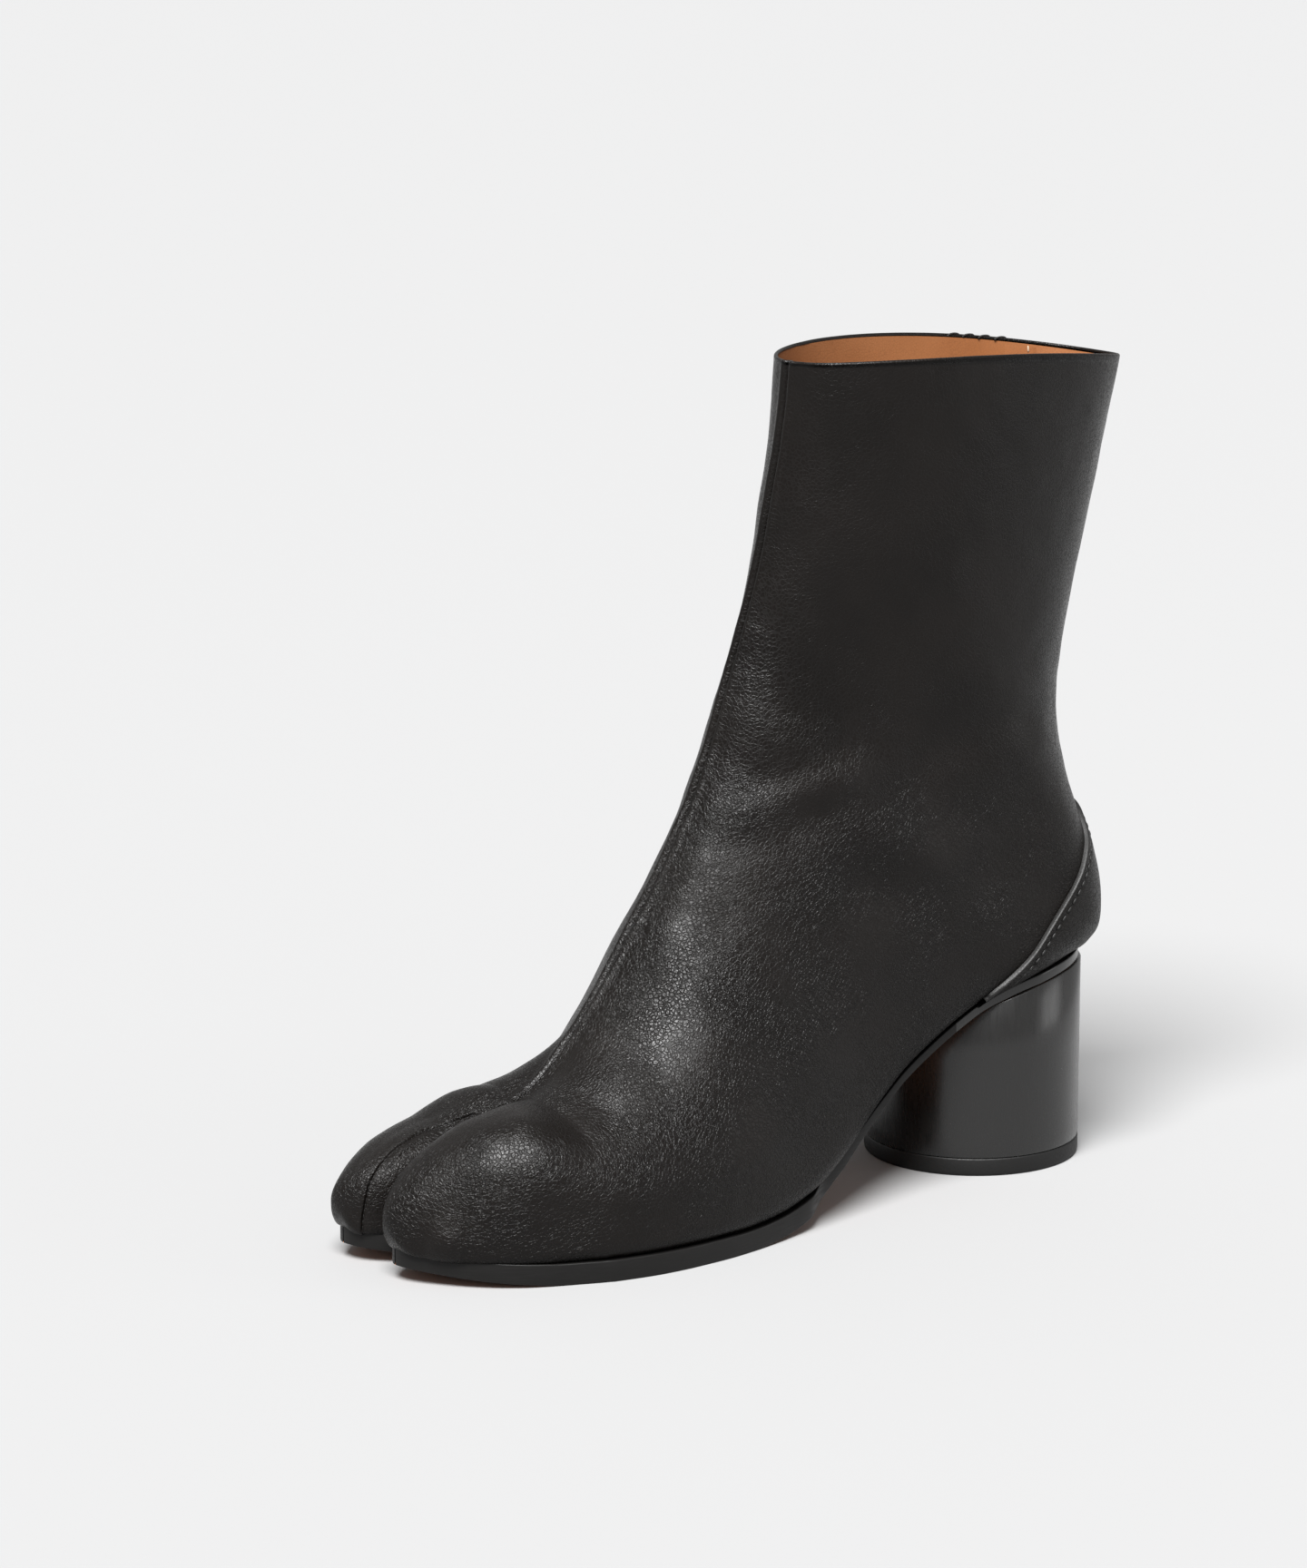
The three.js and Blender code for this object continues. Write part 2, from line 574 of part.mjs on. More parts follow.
const outside = footForm(0, fine, 0);
const inside = footForm(WALL, coarse, 0.6);
const opening = footSlab(-LASTING_MARGIN, (y) => soleTop(y) - 1, (y) => soleTop(y) + GAP + WALL + 0.7,
  HEEL_DIAMETER / 2 - LASTING_MARGIN);
const upper = outside.subtract(inside).subtract(opening);

const outsole = footSlab(SOLE_MARGIN, soleBottom, soleTop, HEEL_DIAMETER / 2);
const insoleLow = (y) => soleTop(y) + GAP + WALL + GAP;
const insole = footSlab(-WALL, insoleLow, (y) => insoleLow(y) + INSOLE_THICKNESS,
  HEEL_DIAMETER / 2 - WALL).intersect(footForm(WALL + GAP, coarse, 0));

// Round block heel: flat below, its top follows the underside of the sole.
function blockHeel(radius, low, high) {
  const positions = [];
  const around = 48;
  const rings = [0, 0.4, 0.75, 1];
  const at = (r, k) => {
    const angle = (2 * Math.PI * k) / around;
    return [radius * r * Math.cos(angle), radius * r * Math.sin(angle)];
  };
  const push = (...points) => points.forEach((p) => positions.push(...p));
  for (let k = 0; k < around; k += 1) {
    for (let r = 0; r < rings.length - 1; r += 1) {
      const [a, b, c, d] = [at(rings[r], k), at(rings[r + 1], k), at(rings[r + 1], k + 1),
        at(rings[r], k + 1)].map(([x, y]) => [x, y, high(y)]);
      push(a, b, c);
      if (r > 0) push(a, c, d);
    }
    const [p, q] = [at(1, k), at(1, k + 1)];
    push([...p, low], [...q, low], [...q, high(q[1])]);
    push([...p, low], [...q, high(q[1])], [...p, high(p[1])]);
    push([0, 0, low], [...q, low], [...p, low]);
  }
  return solid(positions);
}
const heel = blockHeel(HEEL_DIAMETER / 2, TOP_LIFT, (y) => soleBottom(y) - GAP);
const lift = new THREE.CylinderGeometry(HEEL_DIAMETER / 2, HEEL_DIAMETER / 2, TOP_LIFT, 48);
lift.rotateX(QUARTER);
lift.translate(0, 0, TOP_LIFT / 2);
const topLift = solid(Array.from(lift.toNonIndexed().attributes.position.array));

// Overlays lie between two larger forms of the foot.
const overlayGrid = fine;
const under = footForm(-GAP, overlayGrid, 0.1);
const over = footForm(-GAP - OVERLAY, overlayGrid, 0);
const layer = over.subtract(under);

const seat = soleTop(BACK);
const counterTop = (share) => station(0.03) - share * COUNTER_LENGTH;
const counterOutline = [
  ...COUNTER_EDGE.map(([ahead, up]) => [counterTop(ahead), seat + up * COUNTER_HEIGHT]),
];
const lowEdge = [];
for (let y = counterTop(1); y < BACK + 12; y += 6) lowEdge.push([y, soleTop(y) + 2 * GAP + 0.2]);
const counterRegion = sidePrism([
  ...counterOutline.filter(([y, z]) => z > soleTop(y) + 3 * GAP),
  ...lowEdge.filter(([y]) => y > counterTop(0.86)),
], -BALL_WIDTH, BALL_WIDTH);
const counter = layer.intersect(counterRegion);

const flapFront = FLAP_EDGE.map(([share, up]) => [station(share), seat + up * SHAFT_HEIGHT]);
const flapRegion = sidePrism([
  ...flapFront,
  ...flapFront.map(([y, z]) => [y + FLAP_WIDTH, z + 0.3 * FLAP_WIDTH]).reverse(),
], -BALL_WIDTH, 0);
const flap = layer.intersect(flapRegion).subtract(sidePrism([
  ...counterOutline.map(([y, z]) => [y - 1.5 * GAP, z + 1.5 * GAP]),
  [BACK + 20, 0],
], -BALL_WIDTH, BALL_WIDTH));

const boot = new THREE.Group();
boot.add(
  mesh('outsole', outsole, 0x1a1817, 0.6),
  mesh('heel', heel, 0x141312, 0.35),
  mesh('top_lift', topLift, 0x0e0e0e, 0.7),
  mesh('insole', insole, 0xb0754a, 0.7),
  mesh('upper', upper, 0x232120, 0.45),
  mesh('heel_counter', counter, 0x262423, 0.5),
  mesh('closure_flap', flap, 0x232120, 0.45),
);

export default boot;
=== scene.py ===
import math

import bpy
import numpy as np
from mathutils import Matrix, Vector, noise
from mathutils.bvhtree import BVHTree


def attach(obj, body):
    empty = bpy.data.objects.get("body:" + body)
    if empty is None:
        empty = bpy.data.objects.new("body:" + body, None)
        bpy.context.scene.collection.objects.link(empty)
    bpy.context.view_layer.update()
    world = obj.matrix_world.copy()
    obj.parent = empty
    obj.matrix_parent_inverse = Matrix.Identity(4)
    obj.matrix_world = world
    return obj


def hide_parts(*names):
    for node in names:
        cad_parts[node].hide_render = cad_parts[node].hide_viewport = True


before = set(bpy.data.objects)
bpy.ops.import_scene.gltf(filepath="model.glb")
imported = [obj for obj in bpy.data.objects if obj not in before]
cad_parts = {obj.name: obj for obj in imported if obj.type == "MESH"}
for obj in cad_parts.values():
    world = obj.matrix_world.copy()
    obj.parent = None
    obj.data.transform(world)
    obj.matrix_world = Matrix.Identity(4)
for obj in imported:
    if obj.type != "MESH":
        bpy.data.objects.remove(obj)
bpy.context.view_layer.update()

# Sizes in millimetres, as in the solids: +Z up, toe to -Y, outer side to +X.
LENGTH = 238.5
BALL_WIDTH = 88
INSTEP_HEIGHT = 79
SHAFT_HEIGHT = 169
COLLAR_WIDTH = 57
WALL = 2
SPLIT_LENGTH = 49
SPLIT_WIDTH = 1.6
SPLIT_SHIFT = 3
TOE_PINCH = 3.5
HEEL_DIAMETER = 60
HEEL_HEIGHT = 58.3
TOP_LIFT = 5
COUNTER_OVERHANG = 4.5
COUNTER_HEIGHT = 42
COUNTER_LENGTH = 46
OVERLAY = 1.2
SOLE_THICKNESS = 5
SOLE_MARGIN = 0.8
TOE_SPRING = 3.4
INSOLE_THICKNESS = 2.2
FLAP_WIDTH = 31
GAP = 0.3

HEEL_RADIUS = HEEL_DIAMETER / 2
BACK = HEEL_RADIUS + COUNTER_OVERHANG
RISE = HEEL_HEIGHT - SOLE_THICKNESS
SPLIT_Y = BACK - LENGTH + SPLIT_LENGTH
QUARTER = math.pi / 2

# Each row: share of the length from the back, rise of the heel, toe spring, thickness.
SOLE_ROWS = np.array([
    [-0.040, 1, 0, 0.40],
    [0.057, 1, 0, 0.40],
    [0.099, 0.985, 0, 0.40],
    [0.140, 0.955, 0, 0.40],
    [0.174, 0.913, 0, 0.40],
    [0.212, 0.855, 0, 0.40],
    [0.254, 0.770, 0, 0.40],
    [0.300, 0.660, 0, 0.40],
    [0.338, 0.555, 0, 0.42],
    [0.367, 0.455, 0, 0.46],
    [0.405, 0.325, 0, 0.55],
    [0.447, 0.185, 0, 0.70],
    [0.488, 0.085, 0, 0.88],
    [0.551, 0.018, 0, 1],
    [0.610, 0, 0, 1],
    [0.824, 0, 0, 1],
    [0.883, 0, 0.20, 0.94],
    [0.929, 0, 0.46, 0.84],
    [0.962, 0, 0.72, 0.75],
    [1.017, 0, 1.10, 0.62],
])
# Cross-sections of the upper from the root of the toes round the heel to the collar. low and
# top are the stations of the two ends, up, rise, instep and shaft their heights, and the rest
# is the outline between them.
COLUMNS = ["low", "up", "top", "rise", "instep", "shaft", "tall", "outer", "inner",
           "wide", "foot", "crest", "ridge", "bow", "full"]
UPPER_ROWS = np.array([
    [0.795, 0, 0.795, 0, 0.475, 0, 0, 0.472, 0.414, 0.36, 11.0, 2.25, 0, 0, 0.85],
    [0.748, 0, 0.757, 0, 0.539, 0, 0, 0.498, 0.432, 0.32, 11.0, 1.90, 0, 0, 0.79],
    [0.698, 0, 0.713, 0.020, 0.657, 0, 0, 0.509, 0.439, 0.28, 11.0, 1.58, 0, 0, 0.72],
    [0.639, 0, 0.673, 0.080, 0.765, 0, 0, 0.505, 0.434, 0.26, 11.0, 1.52, 0, 0, 0.82],
    [0.572, 0, 0.639, 0.180, 0.841, 0, 0, 0.482, 0.418, 0.25, 10.0, 1.58, 0, 0, 0.93],
    [0.505, 0, 0.609, 0.330, 0.875, 0, 0, 0.445, 0.382, 0.25, 9.0, 1.62, 0, 0, 0.96],
    [0.438, 0, 0.584, 0.510, 0.880, 0, 0.1, 0.422, 0.363, 0.26, 8.0, 1.68, 0, 0, 0.98],
    [0.371, 0, 0.561, 0.700, 0.872, 0, 0.3, 0.414, 0.371, 0.27, 7.0, 1.72, 0, 0, 1],
    [0.304, 0, 0.544, 0.850, 0.885, 0, 0.5, 0.433, 0.397, 0.27, 7.0, 1.76, 0, 0, 1],
    [0.229, 0, 0.530, 0.950, 0.925, 0, 0.7, 0.468, 0.440, 0.25, 7.0, 1.80, 0, 0, 1],
    [0.149, 0, 0.519, 1, 0.992, 0, 0.9, 0.528, 0.508, 0.22, 7.0, 1.84, 0.2, 0, 1],
    [0.086, 0, 0.509, 1, 1, 0.071, 1, 0.541, 0.526, 0.20, 4.4, 1.86, 0.4, 0, 1],
    [0.040, 0.001, 0.501, 1, 1, 0.138, 1, 0.530, 0.519, 0.20, 2.9, 1.88, 0.6, 0, 1],
    [0.016, 0.020, 0.494, 1, 1, 0.204, 1, 0.523, 0.512, 0.22, 2.6, 1.88, 0.8, 0, 1],
    [0.008, 0.073, 0.487, 1, 1, 0.260, 1, 0.512, 0.504, 0.25, 2.4, 1.88, 1, 0, 1],
    [0.013, 0.138, 0.480, 1, 1, 0.327, 1, 0.502, 0.493, 0.29, 2.3, 1.88, 1.3, 0, 1],
    [0.026, 0.204, 0.473, 1, 1, 0.399, 1, 0.491, 0.484, 0.34, 2.2, 1.88, 1.6, 0, 1],
    [0.041, 0.275, 0.466, 1, 1, 0.482, 1, 0.484, 0.479, 0.39, 2.2, 1.90, 2.0, 0.2, 1],
    [0.053, 0.363, 0.461, 1, 1, 0.560, 1, 0.477, 0.472, 0.43, 2.2, 1.92, 2.4, 0.5, 1],
    [0.047, 0.482, 0.454, 1, 1, 0.660, 1, 0.475, 0.470, 0.46, 2.2, 1.96, 2.8, 1, 1],
    [0.022, 0.630, 0.447, 1, 1, 0.760, 1, 0.481, 0.475, 0.48, 2.2, 2.00, 3.2, 1.8, 1],
    [-0.007, 0.789, 0.442, 1, 1, 0.871, 1, 0.489, 0.484, 0.50, 2.2, 2.05, 3.6, 2.6, 1],
    [-0.037, 0.964, 0.438, 1, 1, 1.004, 1, 0.500, 0.500, 0.50, 2.2, 2.10, 4.0, 3.2, 1],
])
LAST = len(UPPER_ROWS) - 1
# Toes, outer (1) and inner (-1). Each row: share of the length, far side, near side, crest.
TOES = {
    1: {"tip": 0.989, "side": 0.110, "height": 0.100, "round": 0.150, "rows": np.array([
        [0.795, 0.472, 0, 0.475],
        [0.837, 0.432, 0, 0.478],
        [0.883, 0.401, 0.004, 0.472],
        [0.929, 0.358, 0.012, 0.440],
        [0.992, 0.250, 0.030, 0.380],
    ])},
    -1: {"tip": 0.991, "side": 0.160, "height": 0.100, "round": 0.152, "rows": np.array([
        [0.795, 0.414, 0, 0.475],
        [0.837, 0.396, 0, 0.390],
        [0.883, 0.370, 0.004, 0.362],
        [0.929, 0.334, 0.012, 0.358],
        [1, 0.250, 0.030, 0.330],
    ])},
}
COUNTER_EDGE = [[-0.60, 1.060], [0.000, 1], [0.180, 0.760], [0.400, 0.470], [0.640, 0.190],
                [0.860, -0.010], [1, -0.120]]
FLAP_EDGE = [[0.158, 1.060], [0.166, 0.800], [0.176, 0.560], [0.184, 0.360], [0.190, 0.180]]


def station(share):
    return BACK - share * LENGTH


def mix(a, b, t):
    return a + (b - a) * t


def ease(t):
    k = np.clip(t, 0, 1)
    return k * k * (3 - 2 * k)


def power(x, e):
    x = np.where(np.abs(x) < 1e-9, 0.0, x)
    return np.sign(x) * np.abs(x) ** e


def along(rows, column, x):
    """Smooth value of a column of the table at x, without overshoot."""
    xs, vs = rows[:, 0], rows[:, column]
    slope = np.diff(vs) / np.diff(xs)
    tangent = np.empty(len(xs))
    tangent[0], tangent[-1] = slope[0], slope[-1]
    a, b = slope[:-1], slope[1:]
    flat = a * b <= 0
    tangent[1:-1] = np.where(flat, 0, 2 * a * b / np.where(flat, 1, a + b))
    i = np.clip(np.searchsorted(xs, x, side="left") - 1, 0, len(xs) - 2)
    h = xs[i + 1] - xs[i]
    t = np.clip((x - xs[i]) / h, 0, 1)
    a, b = vs[i], vs[i + 1]
    return (a * (2 * t ** 3 - 3 * t * t + 1) + b * (3 * t * t - 2 * t ** 3)
            + h * (tangent[i] * (t ** 3 - 2 * t * t + t) + tangent[i + 1] * (t ** 3 - t * t)))


def closing(ahead, reach, n):
    """Share of the full size at a distance behind a rounded tip, 1 from reach on."""
    return 1 if ahead >= reach else (1 - (1 - ahead / reach) ** n) ** (1 / n)


def unit(v):
    return v / np.maximum(np.linalg.norm(v, axis=-1, keepdims=True), 1e-12)


def search_tree(points, faces):
    return BVHTree.FromPolygons([Vector(q) for q in points], [[int(i) for i in q] for q in faces])


def blend_row(u):
    """Values of the upper at a place between its rows."""
    n = len(UPPER_ROWS)
    i = min(max(math.floor(u), 0), n - 2)
    t = u - i
    at = lambda k: UPPER_ROWS[min(max(k, 0), n - 1)]
    a, b = at(i), at(i + 1)
    ta = b - a if i == 0 else (b - at(i - 1)) / 2
    tb = b - a if i == n - 2 else (at(i + 2) - a) / 2
    if t > 1:
        value = b + tb * (t - 1)
    else:
        value = (a * (2 * t ** 3 - 3 * t * t + 1) + b * (3 * t * t - 2 * t ** 3)
                 + ta * (t ** 3 - 2 * t * t + t) + tb * (t ** 3 - t * t))
    return dict(zip(COLUMNS, value))


def sole_top(y):
    share = (BACK - y) / LENGTH
    return (SOLE_THICKNESS + RISE * along(SOLE_ROWS, 1, share)
            + TOE_SPRING * along(SOLE_ROWS, 2, share))


def sole_bottom(y):
    return sole_top(y) - SOLE_THICKNESS * along(SOLE_ROWS, 3, (BACK - y) / LENGTH)


def section_ends(u):
    row = blend_row(u)
    low_y = station(row["low"])
    low = np.array([low_y, sole_top(low_y) + GAP + row["up"] * SHAFT_HEIGHT])
    top = np.array([station(row["top"]), SOLE_THICKNESS + GAP + row["rise"] * RISE
                    + row["instep"] * INSTEP_HEIGHT + row["shaft"] * (SHAFT_HEIGHT - INSTEP_HEIGHT)])
    return row, low, top


def section(u, inset):
    """One cross-section of the upper, drawn in by inset."""
    row, low, top = section_ends(u)
    _, low_a, top_a = section_ends(max(0, u - 0.2))
    _, low_b, top_b = section_ends(u + 0.2)
    direction = (top - low) / np.linalg.norm(top - low)

    def slant(a, b):
        d = b - a
        return min(max(abs(direction[0] * d[1] - direction[1] * d[0]) / np.linalg.norm(d), 0.55), 1)

    width = mix(BALL_WIDTH, COLLAR_WIDTH, row["tall"])
    return {
        "row": row,
        "dir": direction,
        "low": low + direction * inset / slant(low_a, low_b),
        "top": top - direction * inset / slant(top_a, top_b),
        "outer": row["outer"] * width - inset,
        "inner": row["inner"] * width - inset,
        "pinch": TOE_PINCH * (1 - ease(u / 2.6)),
    }


def slit_x(y):
    return -SPLIT_SHIFT * ease((SPLIT_Y - y) / SPLIT_LENGTH)


def spread(outline, stops, columns):
    """Points along the outline between the stops, at the shares that columns gives for its length."""
    rings, seams = [], []
    for k, count in enumerate(columns):
        p = outline(np.linspace(stops[k], stops[k + 1], 161))
        sums = np.concatenate([[0], np.cumsum(np.linalg.norm(np.diff(p, axis=0), axis=1))])
        goals = count(sums[-1]) if callable(count) else np.linspace(0, sums[-1], count + 1)
        goals = goals if k == 0 else goals[1:]
        rings.append(np.stack([np.interp(goals, sums, p[:, c]) for c in range(3)], 1))
        seams.append(sums[-1] - goals)
    for k in range(len(seams) - 2, -1, -1):
        after = seams[k + 1]
        seams[k] = seams[k] + after[0] + (after[0] - after[min(1, len(after) - 1)])
    return np.concatenate(rings), np.concatenate(seams)


def towards_seam(count, near):
    """Even columns that end in the narrow columns near, both measured from the seam."""
    def place(length):
        far = np.linspace(0, length - near[0] - 1.0, count + 1)
        return np.concatenate([far, length - np.array(near)])
    return place


def half_section(u, side, inset, columns):
    """Half of a cross-section, from the middle below round the side to the front seam."""
    s = section(u, inset)
    row = s["row"]
    w = s["outer"] if side > 0 else s["inner"]
    across = (-s["dir"][1], s["dir"][0])

    def outline(angle):
        crest = row["crest"] * (1 if side > 0 else row["full"])
        e = 2 / np.where(angle < 0, row["foot"], crest)
        x = w * power(np.maximum(0, np.cos(angle)), e)
        rise = power(np.sin(angle), e)
        v = row["wide"] + rise * np.where(angle < 0, row["wide"], 1 - row["wide"])
        mid = row["ridge"] * np.clip(v, 0, 1)
        lift = row["bow"] * 4 * v * (1 - v)
        sink = np.where(angle > 0, s["pinch"] * np.exp(-((x / 7) ** 2)), 0)
        return np.stack([
            mid + side * x,
            mix(s["low"][0], s["top"][0], v) - across[0] * lift - s["dir"][0] * sink,
            mix(s["low"][1], s["top"][1], v) - across[1] * lift - s["dir"][1] * sink,
        ], 1)

    return spread(outline, [-QUARTER, -QUARTER / 2, 0, QUARTER], columns)


def toe_section(y, side, inset, columns, base_y, base_ring):
    """Closed ring round one toe, eased out of the ring at its root."""
    toe = TOES[side]
    tip_y = station(toe["tip"]) + inset
    ahead = max(0.0, y - tip_y)
    at = (BACK - y) / LENGTH
    rnd = toe["round"] * LENGTH
    tip_q = toe["side"] * BALL_WIDTH
    tip_z = sole_top(tip_y) + GAP + toe["height"] * INSTEP_HEIGHT
    far = mix(tip_q, along(toe["rows"], 1, at) * BALL_WIDTH - inset,
              closing(ahead, rnd, 2.3))
    slit = SPLIT_WIDTH / 2 * ease((SPLIT_Y - y + inset) / 6) + inset
    near = mix(tip_q, along(toe["rows"], 2, at) * BALL_WIDTH + slit, closing(ahead, rnd * 0.4, 2.1))
    crest = mix(tip_z, sole_top(y) + GAP + along(toe["rows"], 3, at) * INSTEP_HEIGHT - inset,
                closing(ahead, rnd * 1.25, 1.9))
    low = mix(tip_z, sole_top(y) + GAP + inset, closing(ahead, rnd * 0.13, 2))
    middle = (far + near) / 2
    half = (far - near) / 2
    wide = low + (crest - low) * 0.4
    foot = mix(2.4, 9, closing(ahead, rnd * 0.5, 2))

    def outline(angle):
        c = np.cos(angle)
        z = np.sin(angle)
        e = 2 / np.where(z < 0, foot, np.where(c < 0, 3.2, 2.05))
        return np.stack([
            slit_x(y) + side * (middle + half * power(c, e)),
            np.full(len(angle), y),
            wide + power(z, e) * np.where(z < 0, wide - low, crest - wide),
        ], 1)

    shape, seams = spread(outline, [-1.5 * QUARTER, -QUARTER / 2, 0, 1.5 * QUARTER, 2.5 * QUARTER],
                          columns)
    part = ease((base_y - y) / 17)
    scale = along(toe["rows"], 1, at) / toe["rows"][0][1]
    b = base_ring[np.arange(len(shape)) % len(base_ring)]
    start = np.stack([
        slit_x(y) + side * np.maximum(np.abs(b[:, 0]) * scale, slit),
        b[:, 1] + y - base_y,
        b[:, 2] + sole_top(y) - sole_top(base_y),
    ], 1)
    return mix(start, shape, part), seams


class Shape:
    """Vertices, faces and values per vertex, gathered ring by ring."""

    def __init__(self):
        self.points, self.values, self.faces, self.size = [], [], [], 0

    def add(self, points, **values):
        points = np.asarray(points, float).reshape(-1, 3)
        n = len(points)
        self.points.append(points)
        self.values.append({k: np.broadcast_to(v, n) for k, v in values.items()})
        ids = np.arange(self.size, self.size + n)
        self.size += n
        return ids

    def strip(self, lower, upper, turn=False):
        a, b, c, d = lower[:-1], lower[1:], upper[1:], upper[:-1]
        quads = np.stack([b, a, d, c] if turn else [a, b, c, d], 1)
        self.faces.append(quads)

    def done(self):
        p = np.concatenate(self.points)
        f = np.concatenate(self.faces)
        names = sorted({k for v in self.values for k in v})
        v = {k: np.concatenate([np.asarray(v.get(k, np.zeros(len(q))))
                                for v, q in zip(self.values, self.points)]) for k in names}
        return p, f, v


def skin(inset, step, toe_count, columns, split, over=0.0):
    """Foot and shaft from the toes to the collar, open at the collar."""
    s = Shape()
    top = LAST + over
    first = max(0, inset) / (LENGTH * (UPPER_ROWS[0][0] - UPPER_ROWS[1][0]))
    us = np.linspace(first, top, int(round((top - first) / step)) + 1)
    rings = {1: [], -1: []}
    for u in us:
        p, q = half_section(u, 1, inset, columns)
        outer = s.add(p, u=u, side=1, q=q, toe=0)
        p, q = half_section(u, -1, inset, columns)
        inner = s.add(p[1:-1], u=u, side=-1, q=q[1:-1], toe=0)
        rings[1].append(outer)
        rings[-1].append(np.concatenate([outer[:1], inner, outer[-1:]]))
    for side in (1, -1):
        for a, b in zip(rings[side][:-1], rings[side][1:]):
            s.strip(a, b, side < 0)
    base = np.concatenate(s.points)
    seam, floor = base[rings[1][0][-1]], base[rings[1][0][0]]
    steps = (np.arange(1, split) / split)[:, None]
    wall = s.add(mix(seam, floor, steps), u=first, side=0, q=0, toe=1)
    all_points = np.concatenate(s.points)
    for side in (1, -1):
        previous = np.concatenate([rings[side][0], wall, rings[side][0][:1]])
        base_ring = all_points[previous[:-1]]
        base_y = floor[1]
        tip_y = station(TOES[side]["tip"]) + inset
        for k in range(1, toe_count + 1):
            y = mix(base_y, tip_y, math.sin(QUARTER * k / toe_count))
            ring, q = toe_section(y, side, inset, [*columns, split], base_y, base_ring)
            ids = s.add(ring[:-1], u=-k / toe_count, side=side, q=q[:-1], toe=1)
            ids = np.concatenate([ids, ids[:1]])
            s.strip(ids, previous, side < 0)
            previous = ids
    p, f, v = s.done()
    return p, f, v, {side: rings[side][-1] for side in (1, -1)}


def vertex_normals(p, f):
    n = np.cross(p[f[:, 2]] - p[f[:, 0]], p[f[:, 3]] - p[f[:, 1]])
    out = np.zeros_like(p)
    for k in range(4):
        np.add.at(out, f[:, k], n)
    return unit(out)


def add_object(name, points, faces, materials, picks=None):
    """Mesh object from millimetre points. picks gives each face's material number."""
    data = bpy.data.meshes.new(name)
    polys = [tuple(dict.fromkeys(int(i) for i in q)) for q in faces]
    keep = [k for k, q in enumerate(polys) if len(q) > 2]
    data.from_pydata([tuple(q) for q in np.asarray(points) / 1000], [], [polys[k] for k in keep])
    for m in materials:
        data.materials.append(m)
    if picks is not None:
        data.polygons.foreach_set("material_index", np.asarray(picks)[keep].astype(np.int32))
    data.polygons.foreach_set("use_smooth", np.full(len(keep), True))
    data.validate()
    obj = bpy.data.objects.new(name, data)
    bpy.context.scene.collection.objects.link(obj)
    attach(obj, "root")
    return obj


def plain_material(name, color, rough):
    m = bpy.data.materials.new(name)
    m.use_nodes = True
    b = m.node_tree.nodes["Principled BSDF"]
    b.inputs["Base Color"].default_value = (*color, 1)
    b.inputs["Roughness"].default_value = rough
    return m, m.node_tree, b


def grow(tree, kind, **settings):
    node = tree.nodes.new(kind)
    for key, value in settings.items():
        setattr(node, key, value)
    return node


def join(tree, a, out, b, into):
    tree.links.new(a.outputs[out], b.inputs[into])


def in_millimetres(tree, stretch=(1, 1, 1)):
    place = grow(tree, "ShaderNodeTexCoord")
    scale = grow(tree, "ShaderNodeMapping")
    scale.inputs["Scale"].default_value = [1000 * s for s in stretch]
    join(tree, place, "Object", scale, "Vector")
    return scale


def maths(tree, kind, a, b):
    node = grow(tree, "ShaderNodeMath", operation=kind)
    for k, item in enumerate((a, b)):
        if isinstance(item, (int, float)):
            node.inputs[k].default_value = item
        else:
            tree.links.new(item, node.inputs[k])
    return node.outputs[0]


def ramp(tree, source, low, high, a=0.0, b=1.0):
    node = grow(tree, "ShaderNodeMapRange", interpolation_type="SMOOTHSTEP")
    tree.links.new(source, node.inputs["Value"])
    for key, value in zip(("From Min", "From Max", "To Min", "To Max"), (low, high, a, b)):
        node.inputs[key].default_value = value
    return node.outputs["Result"]


def blend_color(tree, factor, a, b):
    node = grow(tree, "ShaderNodeMix", data_type="RGBA")
    tree.links.new(factor, node.inputs["Factor"])
    for key, value in (("A", a), ("B", b)):
        socket = [s for s in node.inputs if s.name == key and s.type == "RGBA"][0]
        if isinstance(value, tuple):
            socket.default_value = (*value, 1)
        else:
            tree.links.new(value, socket)
    return [s for s in node.outputs if s.type == "RGBA"][0]


def noise_tex(tree, place, scale, detail):
    node = grow(tree, "ShaderNodeTexNoise")
    node.inputs["Scale"].default_value = scale
    node.inputs["Detail"].default_value = detail
    tree.links.new(place, node.inputs["Vector"])
    return node


def cells(tree, place, scale):
    node = grow(tree, "ShaderNodeTexVoronoi", feature="DISTANCE_TO_EDGE")
    node.inputs["Scale"].default_value = scale
    tree.links.new(place, node.inputs["Vector"])
    return node.outputs["Distance"]


def warped(tree, place, scale, amount):
    """The place moved a little by a soft noise."""
    wobble = noise_tex(tree, place, scale, 2.0)
    centred = grow(tree, "ShaderNodeVectorMath", operation="MULTIPLY_ADD")
    tree.links.new(wobble.outputs["Color"], centred.inputs[0])
    centred.inputs[1].default_value = (amount,) * 3
    tree.links.new(place, centred.inputs[2])
    return centred.outputs[0]


def bump(tree, b, height, depth_mm):
    node = grow(tree, "ShaderNodeBump")
    node.inputs["Strength"].default_value = 1.0
    node.inputs["Distance"].default_value = depth_mm / 1000
    tree.links.new(height, node.inputs["Height"])
    join(tree, node, "Normal", b, "Normal")


